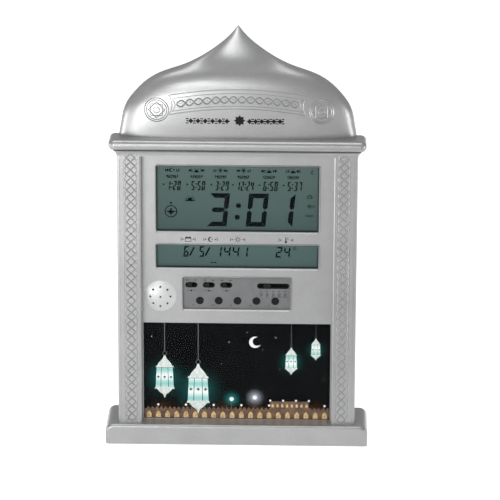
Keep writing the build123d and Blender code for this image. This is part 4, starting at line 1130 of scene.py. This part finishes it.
def write_reading(shape, text, left, right, foot, height, thick):
    """Writes figures with colons and strokes between two places on a display."""
    total = sum(sign_shares.get(sign, 1.0) for sign in text)
    unit = (right - left - slant * height) / (total - end_gap)
    x = left
    for sign in text:
        if sign == ":":
            for level in colon_levels:
                z = foot + level * height
                dot_x = x + colon_x * unit + slant * level * height
                dot = circle_path(dot_x, z, thick * colon_size, 12)
                plate(shape, dot, display_front, segment_height)
        elif sign == "/":
            bar = bar_path(x, foot + stroke_foot * height,
                           x + stroke_run * unit + slant * height, foot + stroke_head * height, thick)
            plate(shape, bar, display_front, segment_height)
        else:
            write_digit(shape, sign, x, foot, digit_share * unit, height, thick, gap_share * thick)
        x += unit * sign_shares.get(sign, 1.0)


print("signs with a share of their own:", len(sign_shares))

# %% [markdown]
# ## Time of day and prayer times
# The upper display shows the time in large digits and above it a row of six prayer times, each
# with a small lozenge in front. The large digits stand further apart than a reading would set
# them, so they are placed one by one.

# %% Time of day and prayer times
big_foot = 173.1
big_width, big_height = 15.2, 26.4
big_thick, big_gap = 3.7, 0.35
colon_left, colon_radius = -0.9, 2.0
small_foot = 201.7
small_height = 7.3
small_thick = 1.0
# each prayer time with its left and right end
small_times = (
    ("1:20", -54.0, -43.0), ("5:50", -35.7, -24.3), ("3:29", -17.3, -6.2),
    ("12:24", -1.0, 12.8), ("6:58", 19.3, 31.1), ("5:37", 37.7, 49.5),
)

time_digits = bmesh.new()
for figure, left in (("3", -23.5), ("0", 6.2), ("1", 26.6)):
    write_digit(time_digits, figure, left, big_foot, big_width, big_height, big_thick, big_gap)
for z in (180.4, 189.7):
    dot_x = colon_left + slant * (z - big_foot)
    plate(time_digits, circle_path(dot_x, z, colon_radius, 20), display_front, segment_height)
for reading, left, right in small_times:
    write_reading(time_digits, reading, left, right, small_foot, small_height, small_thick)
    lozenge = star_path(left - 2.6, small_foot + 0.62 * small_height, 0.85, 0.85, 2)
    plate(time_digits, lozenge, display_front, segment_height)
make_piece(time_digits, "time_digits", segment_ink)

# %% [markdown]
# ## Calendar and temperature
# The lower display shows the day, the month and the year with strokes between them, and the
# temperature with a small ring for the degree. Two short bars below the start of the year mark
# the calendar that is in use.

# %% Calendar and temperature
date_foot = 148.3
date_height = 8.6
date_thick = 1.2
date_readings = (("6/", -41.5, -33.0), ("5/", -29.6, -21.0), ("1441", -17.6, 8.7), ("24", 29.2, 41.0))

date_digits = bmesh.new()
for reading, left, right in date_readings:
    write_reading(date_digits, reading, left, right, date_foot, date_height, date_thick)
stroke(date_digits, circle_path(44.2, 155.6, 0.95, 14), display_front, 0.5, segment_height,
       flat_profile, True)
for x in (-19.6, -17.0):
    plate(date_digits, level_bar(x, 143.9, 0.9, 0.9), display_front, segment_height)
make_piece(date_digits, "date_digits", segment_ink)

# %% [markdown]
# ## Tools for small signs
# The displays, the fascia and the control panel carry small signs: suns, moons, rings and marks.
# Signs without letters suit any language. Each sign is a few flat shapes on one surface, so a pen
# is made for that surface first, and then every shape of a sign is one short line.

# %% Helpers for signs


def pen(shape, surface):
    """Gives a function that lays an outline on one surface as part of one shape."""
    def lay(outline):
        plate(shape, outline, surface, segment_height)
    return lay


def crescent_path(x, z, radius, turned=0.0, count=14):
    """Outline of a crescent moon."""
    outer = circle_path(0, 0, radius, count, 50, 310)
    inner = circle_path(0.36 * radius, 0, 0.76 * radius, count, 66, 294)[::-1]
    cosine, sine = math.cos(math.radians(turned)), math.sin(math.radians(turned))
    return [(x + px * cosine - pz * sine, z + px * sine + pz * cosine) for px, pz in outer + inner]


def ring_on(shape, x, z, radius, width, surface, height=segment_height, count=28):
    stroke(shape, circle_path(x, z, radius, count), surface, width, height, flat_profile, True)


def sun_rays(lay, x, z, start, end, angles, width):
    """Short bars that stand round a point like rays."""
    for angle in angles:
        run = (math.cos(math.radians(angle)), math.sin(math.radians(angle)))
        lay(bar_path(x + start * run[0], z + start * run[1], x + end * run[0], z + end * run[1], width))


def mark_row(lay, middle, z, places, height, first):
    """Bars, lozenges and dashes in turn at given distances from the middle."""
    for number, away in enumerate(places):
        x = middle + away
        kind = (number + first) % 3
        if kind == 0:
            lay(bar_path(x, z - height / 2, x, z + height / 2, 0.75))
        elif kind == 1:
            lay(star_path(x, z, height * 0.55, height * 0.36, 4))
        else:
            lay(level_bar(x, z - height * 0.3, 0.75, 0.8))
            lay(level_bar(x, z + height * 0.25, 0.5, 0.7))


print("signs can be drawn")

# %% [markdown]
# ## Signs of the hours
# Above each prayer time stands a small sign of its hour: a moon with a star, a rising or setting
# half sun, or a full sun. Marks stand on either side of it, and a second row of marks with a line
# under it stands between the sign and the time.

# %% Signs of the hours
display_signs = bmesh.new()
on_display = pen(display_signs, display_front)
sign_z = 217.7
row_z = 212.9
for number, (reading, left, right) in enumerate(small_times):
    middle = (left + right) / 2 - 1.3
    if number == 0:
        on_display(crescent_path(middle - 0.6, sign_z, 1.75))
        on_display(star_path(middle + 1.3, sign_z + 0.2, 1.0, 0.45, 5))
    elif number in (1, 4, 5):
        horizon = sign_z - 1.2
        on_display(circle_path(middle, horizon, 1.5, 12, 0, 180))
        on_display(level_bar(middle, sign_z - 1.5, 2.2, 0.6))
        ray_angles = (60, 120) if number == 1 else (30, 90, 150)
        sun_rays(on_display, middle, horizon, 2.0, 2.9, ray_angles, 0.55)
    else:
        on_display(circle_path(middle, sign_z, 1.1, 14))
        ray_step = 60 if number == 2 else 45
        sun_rays(on_display, middle, sign_z, 1.5, 2.2, range(0, 360, ray_step), 0.55)
    mark_row(on_display, middle, sign_z - 0.2, (-5.0, -3.5, 3.5, 5.0), 2.3, number)
    mark_row(on_display, middle, row_z, (-3.9, -2.3, -0.8, 0.8, 2.3, 3.9), 1.9, number + 1)
    on_display(level_bar(middle, row_z - 1.4, 3.6, 0.45))
print("hours with a sign:", len(small_times))

# %% [markdown]
# ## Compass and morning sign
# At the left of the large digits stands a compass, which is a ring with a star on a bar in it and
# a point above. Nearer to the digits, a half sun marks the morning hours. They are drawn with the
# same pen as the signs of the hours and become one piece with them.

# %% Compass and morning sign
compass_x, compass_z = -50.8, 184.7
ring_on(display_signs, compass_x, compass_z, 4.5, 0.7, display_front)
on_display(star_path(compass_x, compass_z - 0.4, 2.6, 1.5, 4))
on_display(level_bar(compass_x, compass_z, 4.4, 0.6))
on_display(bar_path(compass_x, compass_z + 1.6, compass_x, compass_z + 2.6, 1.2))
on_display(star_path(compass_x, compass_z + 6.6, 1.2, 1.0, 2))
morning_x, morning_z = -36.1, 194.9
on_display(circle_path(morning_x, morning_z - 1.0, 2.0, 12, 0, 180))
on_display(level_bar(morning_x, morning_z - 1.4, 3.8, 0.95))
sun_rays(on_display, morning_x, morning_z - 0.9, 2.6, 3.6, (20, 60, 120, 160), 0.8)
make_piece(display_signs, "display_signs", segment_ink)

# %% [markdown]
# ## Faint segments
# Some segments of a real display are switched off and still show as a slightly darker grey. The
# signs at the right edge of the main display, a moon, a roof, a star with a ring and three bars,
# are drawn in such a grey.

# %% Faint signs
faint_ink = moulded("faint_ink", screen_colour(46, 62, 60), screen_colour(52, 68, 66),
                    (0.60, 0.70), 0.4, 0.001, specular=0.0)
faint_signs = bmesh.new()
faintly = pen(faint_signs, display_front)
faint_x = 55.0
roof_foot, roof_top = 196.6, 198.8
star_z = 189.6
faintly(bar_path(faint_x - 2.0, roof_foot, faint_x, roof_top, 1.0))
faintly(bar_path(faint_x, roof_top, faint_x + 2.0, roof_foot, 1.0))
faintly(level_bar(faint_x, 196.2, 2.2, 0.8))
faintly(star_path(faint_x, star_z, 2.1, 1.4, 4))
ring_on(faint_signs, faint_x + 3.2, star_z, 0.9, 0.5, display_front)
for x in (faint_x - 2.0, faint_x, faint_x + 2.0):
    faintly(level_bar(x, 182.0, 0.8, 1.9))
faintly(crescent_path(57.5, 216.6, 1.7))
make_piece(faint_signs, "faint_signs", faint_ink)

# %% [markdown]
# ## Prints on the fascia
# Between the two windows there is a small dark sign above each value of the lower display: a day
# leaf, a moon, a sun ring and a thermometer, each between two lozenges and two bars. They are
# printed on the paint.

# %% Prints on the fascia
fascia_front = flat_at(cad_box("fascia_panel")[0][1])
fascia_ink = moulded("fascia_ink", screen_colour(52, 52, 54), screen_colour(64, 64, 66),
                     (0.40, 0.55), 0.3, 0.002, specular=0.1)
fascia_signs = bmesh.new()
on_fascia = pen(fascia_signs, fascia_front)
label_z = 163.4
leaf_x, moon_x, sun_x, heat_x = -37.6, -20.5, 0.4, 37.2
leaf_half = 2.2
leaf = box_path(leaf_x - leaf_half, label_z - 1.9, leaf_x + leaf_half, label_z + 1.5)
stroke(fascia_signs, divided(leaf, 4), fascia_front, 0.45, segment_height, flat_profile, True)
on_fascia(level_bar(leaf_x, label_z + 0.9, leaf_half, 0.9))
for x in (leaf_x - 1.0, leaf_x + 1.0):
    on_fascia(bar_path(x, label_z + 1.4, x, label_z + 2.4, 0.5))
on_fascia(crescent_path(moon_x, label_z, 2.0))
on_fascia(star_path(moon_x + 1.3, label_z, 0.7, 0.3, 5))
ring_on(fascia_signs, sun_x, label_z, 1.2, 0.5, fascia_front)
sun_rays(on_fascia, sun_x, label_z, 1.8, 2.6, range(0, 360, 45), 0.45)
on_fascia(circle_path(heat_x, label_z - 1.5, 0.95, 14))
on_fascia(bar_path(heat_x, label_z - 1.2, heat_x, label_z + 2.2, 0.75))
for step in range(3):
    z = label_z + 0.2 + 0.8 * step
    on_fascia(bar_path(heat_x + 0.9, z, heat_x + 2.0, z, 0.3))
for x, reach in ((leaf_x, 3.4), (moon_x, 3.2), (sun_x, 3.6), (heat_x, 3.4)):
    for way in (-1, 1):
        on_fascia(star_path(x + way * (reach + 0.6), label_z, 0.75, 0.45, 4))
        end = x + way * (reach + 1.9)
        on_fascia(bar_path(end, label_z - 1.3, end, label_z + 1.3, 0.5))
make_piece(fascia_signs, "fascia_signs", fascia_ink)

# %% [markdown]
# ## Rims of the windows
# Each opening in the fascia has a fine bevelled rim that leans towards the opening. It is barely
# a millimetre wide, but its lower and right sides catch the light and draw a bright line there.
# The fascia laps the darker control panel all round, so that opening is the panel's box less the
# lap.

# %% Rims of the windows
rim_profile = ((-1.0, -0.3), (-1.0, 0.1), (0.5, 1.0), (0.9, 0.9), (1.0, -0.3))
rim_width = 1.1
rim_height = 1.0
rim_radius = 1.4
corner_points = 5
panel_lap = 2.2
panel_low, panel_high = cad_box("control_plate")
openings = [(-half, half, low, high) for half, low, high in (main_window, date_window)]
openings.append((panel_low[0] + panel_lap, panel_high[0] - panel_lap,
                 panel_low[2] + panel_lap, panel_high[2] - panel_lap))


def frame_path(x0, z0, x1, z1, radius):
    """Outline of a rectangle with rounded corners, from its lower right corner round."""
    corners = ((x1 - radius, z0 + radius, -90), (x1 - radius, z1 - radius, 0),
               (x0 + radius, z1 - radius, 90), (x0 + radius, z0 + radius, 180))
    path = []
    for x, z, start in corners:
        path += circle_path(x, z, radius, corner_points, start, start + 90)
    return path


rims = bmesh.new()
for left, right, low, high in openings:
    out = rim_width / 2
    path = frame_path(left - out, low - out, right + out, high + out, rim_radius)
    stroke(rims, path, fascia_front, rim_width, rim_height, rim_profile, True)
make_piece(rims, "window_rims", silver_paint)

# %% [markdown]
# ## Marks on the control panel
# The dark panel round the switches is printed with small marks: two bars above each slide switch
# and a lozenge between two bars below it, a dot, a ring and one to five ticks under the places of
# the selector, and two or three short marks beside each button.

# %% Marks on the control panel
panel_front = flat_at(panel_low[1])
mark_z = 125.9
switch_places = (-35.2, -21.8, -8.4)
selector_x, selector_pitch = 27.7, 4.6
button_x, button_pitch = -28.7, 14.5
tick_pitch = 0.7

panel_marks = bmesh.new()
on_panel = pen(panel_marks, panel_front)
for x in switch_places:
    for shift in (-3.2, 3.2):
        on_panel(level_bar(x + shift, mark_z + 3.9, 0.9, 0.55))
    on_panel(star_path(x, mark_z - 4.6, 1.0, 0.55, 4))
    for shift in (-2.0, 2.0):
        on_panel(level_bar(x + shift, mark_z - 4.6, 0.5, 0.5))
for step in range(5):
    x = selector_x + selector_pitch * (step - 2)
    on_panel(star_path(x, 121.2, 0.55, 0.55, 2))
    ring_on(panel_marks, x, 118.6, 0.8, 0.35, panel_front, 0.03, 14)
    for count in range(step + 1):
        tick_x = x + tick_pitch * (count - step / 2)
        on_panel(bar_path(tick_x, 116.2, tick_x, 117.2, 0.3))
for number in range(5):
    left = button_x + button_pitch * number - 5.6
    for count in range(2 + number % 2):
        on_panel(bar_path(left + 0.9 * count, 109.6, left + 0.9 * count + 0.5, 109.6, 0.6))
make_piece(panel_marks, "panel_marks", print_black)

# %% [markdown]
# ## Finishes of the picture
# The panes of the lanterns are pale glass with a light inside, so they change from pale green to
# white and back over their height, which a slow wave along Z gives. The frames, the stone and the
# lamps are printed colours, and the plain recipe is enough for them.

# %% Finishes of the picture
pane_wave_rate = 520.0

pale_pane = new_finish("pale_pane")
pane_shader = shader_of(pale_pane)
pane_wave = worked(pale_pane, "SINE",
                   worked(pale_pane, "MULTIPLY", axes_of(pale_pane)["Z"], pane_wave_rate))
pane_shade = two_tone(pale_pane, spread(pale_pane, pane_wave, 0.0, 1.0, -1.0, 1.0),
                      screen_colour(150, 206, 200), screen_colour(244, 250, 246))
join(pale_pane, pane_shade, pane_shader.inputs["Base Color"])
join(pale_pane, spread(pale_pane, clouds(pale_pane, 0.6), 0.34, 0.46), pane_shader.inputs["Roughness"])
pale_frame = moulded("pale_frame", screen_colour(196, 204, 200), screen_colour(232, 236, 230),
                     (0.34, 0.46), 0.5, 0.001, patch=2.5)
dark_frame = moulded("dark_frame", screen_colour(58, 70, 70), screen_colour(86, 98, 96),
                     (0.34, 0.46), 0.5, 0.001, patch=2.5)
warm_stone = moulded("warm_stone", screen_colour(72, 50, 36), screen_colour(118, 88, 62),
                     (0.36, 0.46), 0.6, 0.001, patch=5.0)
lit_arch = moulded("lit_arch", screen_colour(176, 132, 80), screen_colour(232, 204, 154),
                   (0.36, 0.46), 0.6, 0.001, patch=2.0)
lamp_white = moulded("lamp_white", screen_colour(238, 242, 244), screen_colour(252, 252, 252),
                     (0.34, 0.44), 0.5, 0.001)
print("finishes in all:", len(bpy.data.materials))

# %% [markdown]
# ## Lanterns
# The card shows four lanterns on chains, two near ones and two far ones. A lantern is built of a
# few flat shapes: a pointed cap, a collar, three panes of pale glass, and a foot with a drop. One
# outline of each is drawn at full size and then moved and scaled for every lantern. The plates
# lie on the card, inside the clear cover, and stand only a few hundredths of a millimetre high.

# %% Lanterns
card_front = flat_at(card_depth - film_thickness)
print_low, print_mid, print_high = 0.02, 0.03, 0.04
cap_outline = [(-4.6, 8.0), (-3.9, 9.6), (-2.6, 11.2), (-1.2, 12.8), (-0.4, 15.0),
               (0.4, 15.0), (1.2, 12.8), (2.6, 11.2), (3.9, 9.6), (4.6, 8.0)]
collar_outline = [(-5.6, 7.0), (5.6, 7.0), (5.2, 8.0), (-5.2, 8.0)]
pane_outlines = ([(-2.2, 6.8), (-2.6, -6.0), (-5.6, -6.0), (-5.0, 6.8)],
                 [(1.9, 6.8), (2.2, -6.0), (-2.2, -6.0), (-1.9, 6.8)],
                 [(5.0, 6.8), (5.6, -6.0), (2.6, -6.0), (2.2, 6.8)])
base_outline = [(-6.2, -7.2), (6.2, -7.2), (5.8, -6.0), (-5.8, -6.0)]
foot_outline = [(-4.8, -7.2), (-3.0, -9.4), (-1.0, -10.8), (0.0, -13.4),
                (1.0, -10.8), (3.0, -9.4), (4.8, -7.2)]


def sized(outline, x, z, size):
    """An outline of a lantern, moved to its place and scaled."""
    return [(x + px * size, z + pz * size) for px, pz in outline]


panes = bmesh.new()
frames = bmesh.new()
bars = bmesh.new()
for x, z, size in lantern_plan:
    plate(frames, sized(cap_outline, x, z, size), card_front, print_mid)
    plate(frames, sized(collar_outline, x, z, size), card_front, print_high)
    for pane in pane_outlines:
        plate(panes, sized(pane, x, z, size), card_front, print_low)
    for px in (-3.9, 0.0, 3.9):
        plate(bars, sized(star_path(px, 0.6, 1.1, 0.6, 4), x, z, size), card_front, print_high)
    plate(frames, sized(base_outline, x, z, size), card_front, print_high)
    plate(frames, sized(foot_outline, x, z, size), card_front, print_mid)
    stroke(bars, circle_path(x, z + 16.2 * size, 1.2 * size, 16), card_front, 0.35 * size, print_mid,
           flat_profile, True)
    plate(bars, bar_path(x, z + 17.3 * size, x, sheet_top, 0.45 * size), card_front, print_mid)
make_piece(panes, "lantern_panes", pale_pane)
make_piece(frames, "lantern_frames", pale_frame)
make_piece(bars, "lantern_bars", dark_frame)

# %% [markdown]
# ## Arcade
# Along the lower edge of the picture runs a stone arcade: a wall with a row of points on top,
# twenty lit arches, and a lamp on a post at every third of them. The wall is one plate, and
# the arches lie on it as plates of a warm light colour, so nothing has to be cut out.

# %% Arcade
wall_low, wall_top = 17.2, 24.6
wall_half = 71.8
merlon_pitch, merlon_half, merlon_start = 3.4, 1.0, 1.2
merlon_count = int(2 * wall_half / merlon_pitch)
arch_pitch, arch_half, arch_count = 7.18, 1.9, 20

arcade = bmesh.new()
arches = bmesh.new()
lamps = bmesh.new()
plate(arcade, box_path(-wall_half, wall_low, wall_half, wall_top), card_front, print_low)
for i in range(merlon_count):
    x = merlon_start - wall_half + (i + 0.5) * merlon_pitch
    merlon = [(x - merlon_half, wall_top), (x + merlon_half, wall_top),
              (x + merlon_half, wall_top + 0.9), (x, wall_top + 1.9), (x - merlon_half, wall_top + 0.9)]
    plate(arcade, merlon, card_front, print_low)
for i in range(arch_count):
    x = (i + 0.5) * arch_pitch - wall_half
    arch = [(x - arch_half, wall_low + 0.2), (x + arch_half, wall_low + 0.2),
            (x + arch_half, wall_low + 3.0), (x + 1.3, wall_low + 4.4), (x, wall_low + 5.7),
            (x - 1.3, wall_low + 4.4), (x - arch_half, wall_low + 3.0)]
    plate(arches, arch, card_front, print_high)
    if i % 3 == 1:
        plate(lamps, circle_path(x, wall_top + 3.4, 0.9, 12), card_front, print_high)
        plate(arcade, bar_path(x, wall_top, x, wall_top + 2.6, 0.3), card_front, print_low)
print("arches:", arch_count, "points on the wall:", merlon_count)

# %% [markdown]
# ## Hall, street lamps and sky
# Behind the arcade stands a long hall with eight lit windows and a lamp at four places on its
# roof. Two street lamps stand in front of their glows, and the sky has a crescent moon and a few
# stars. All of it goes into the three shapes begun for the arcade, because what is printed in one
# colour is one piece.

# %% Hall, street lamps and sky
hall_left, hall_right, hall_top = 26.0, 56.0, 31.4
hall_windows = 8
window_pitch = (hall_right - hall_left) / hall_windows
window_half = 0.9
window_height = 0.05
# place and size of each star
sky_stars = (
    (-6.0, 80.0, 0.35), (8.0, 88.0, 0.30), (20.0, 74.0, 0.28), (30.0, 84.0, 0.35),
    (67.0, 50.0, 0.30), (-66.0, 84.0, 0.30), (-12.0, 62.0, 0.25), (33.0, 58.0, 0.25),
)

plate(arcade, box_path(hall_left, wall_top, hall_right, hall_top), card_front, print_mid)
for i in range(hall_windows):
    x = hall_left + (i + 0.5) * window_pitch
    window = [(x - window_half, wall_top + 2.0), (x + window_half, wall_top + 2.0),
              (x + window_half, wall_top + 3.8), (x, wall_top + 4.9), (x - window_half, wall_top + 3.8)]
    plate(arches, window, card_front, window_height)
for x in (hall_left, 36.0, 46.0, hall_right):
    plate(lamps, circle_path(x, hall_top + 0.7, 0.8, 12), card_front, print_high)
for lamp_x, lamp_z, lamp_glow in street_lamps:
    plate(arcade, bar_path(lamp_x, wall_top, lamp_x, lamp_z - 1.6, 0.35), card_front, print_low)
    plate(lamps, circle_path(lamp_x, lamp_z, 1.7, 20), card_front, print_high)
for star_x, star_z, star_size in sky_stars:
    plate(lamps, star_path(star_x, star_z, star_size * 1.6, star_size * 0.6, 4), card_front, print_mid)
plate(lamps, crescent_path(14.0, 80.0, 4.6, 20.0, 22), card_front, print_mid)
make_piece(arcade, "picture_arcade", warm_stone)
make_piece(arches, "picture_arches", lit_arch)
make_piece(lamps, "picture_lamps", lamp_white)
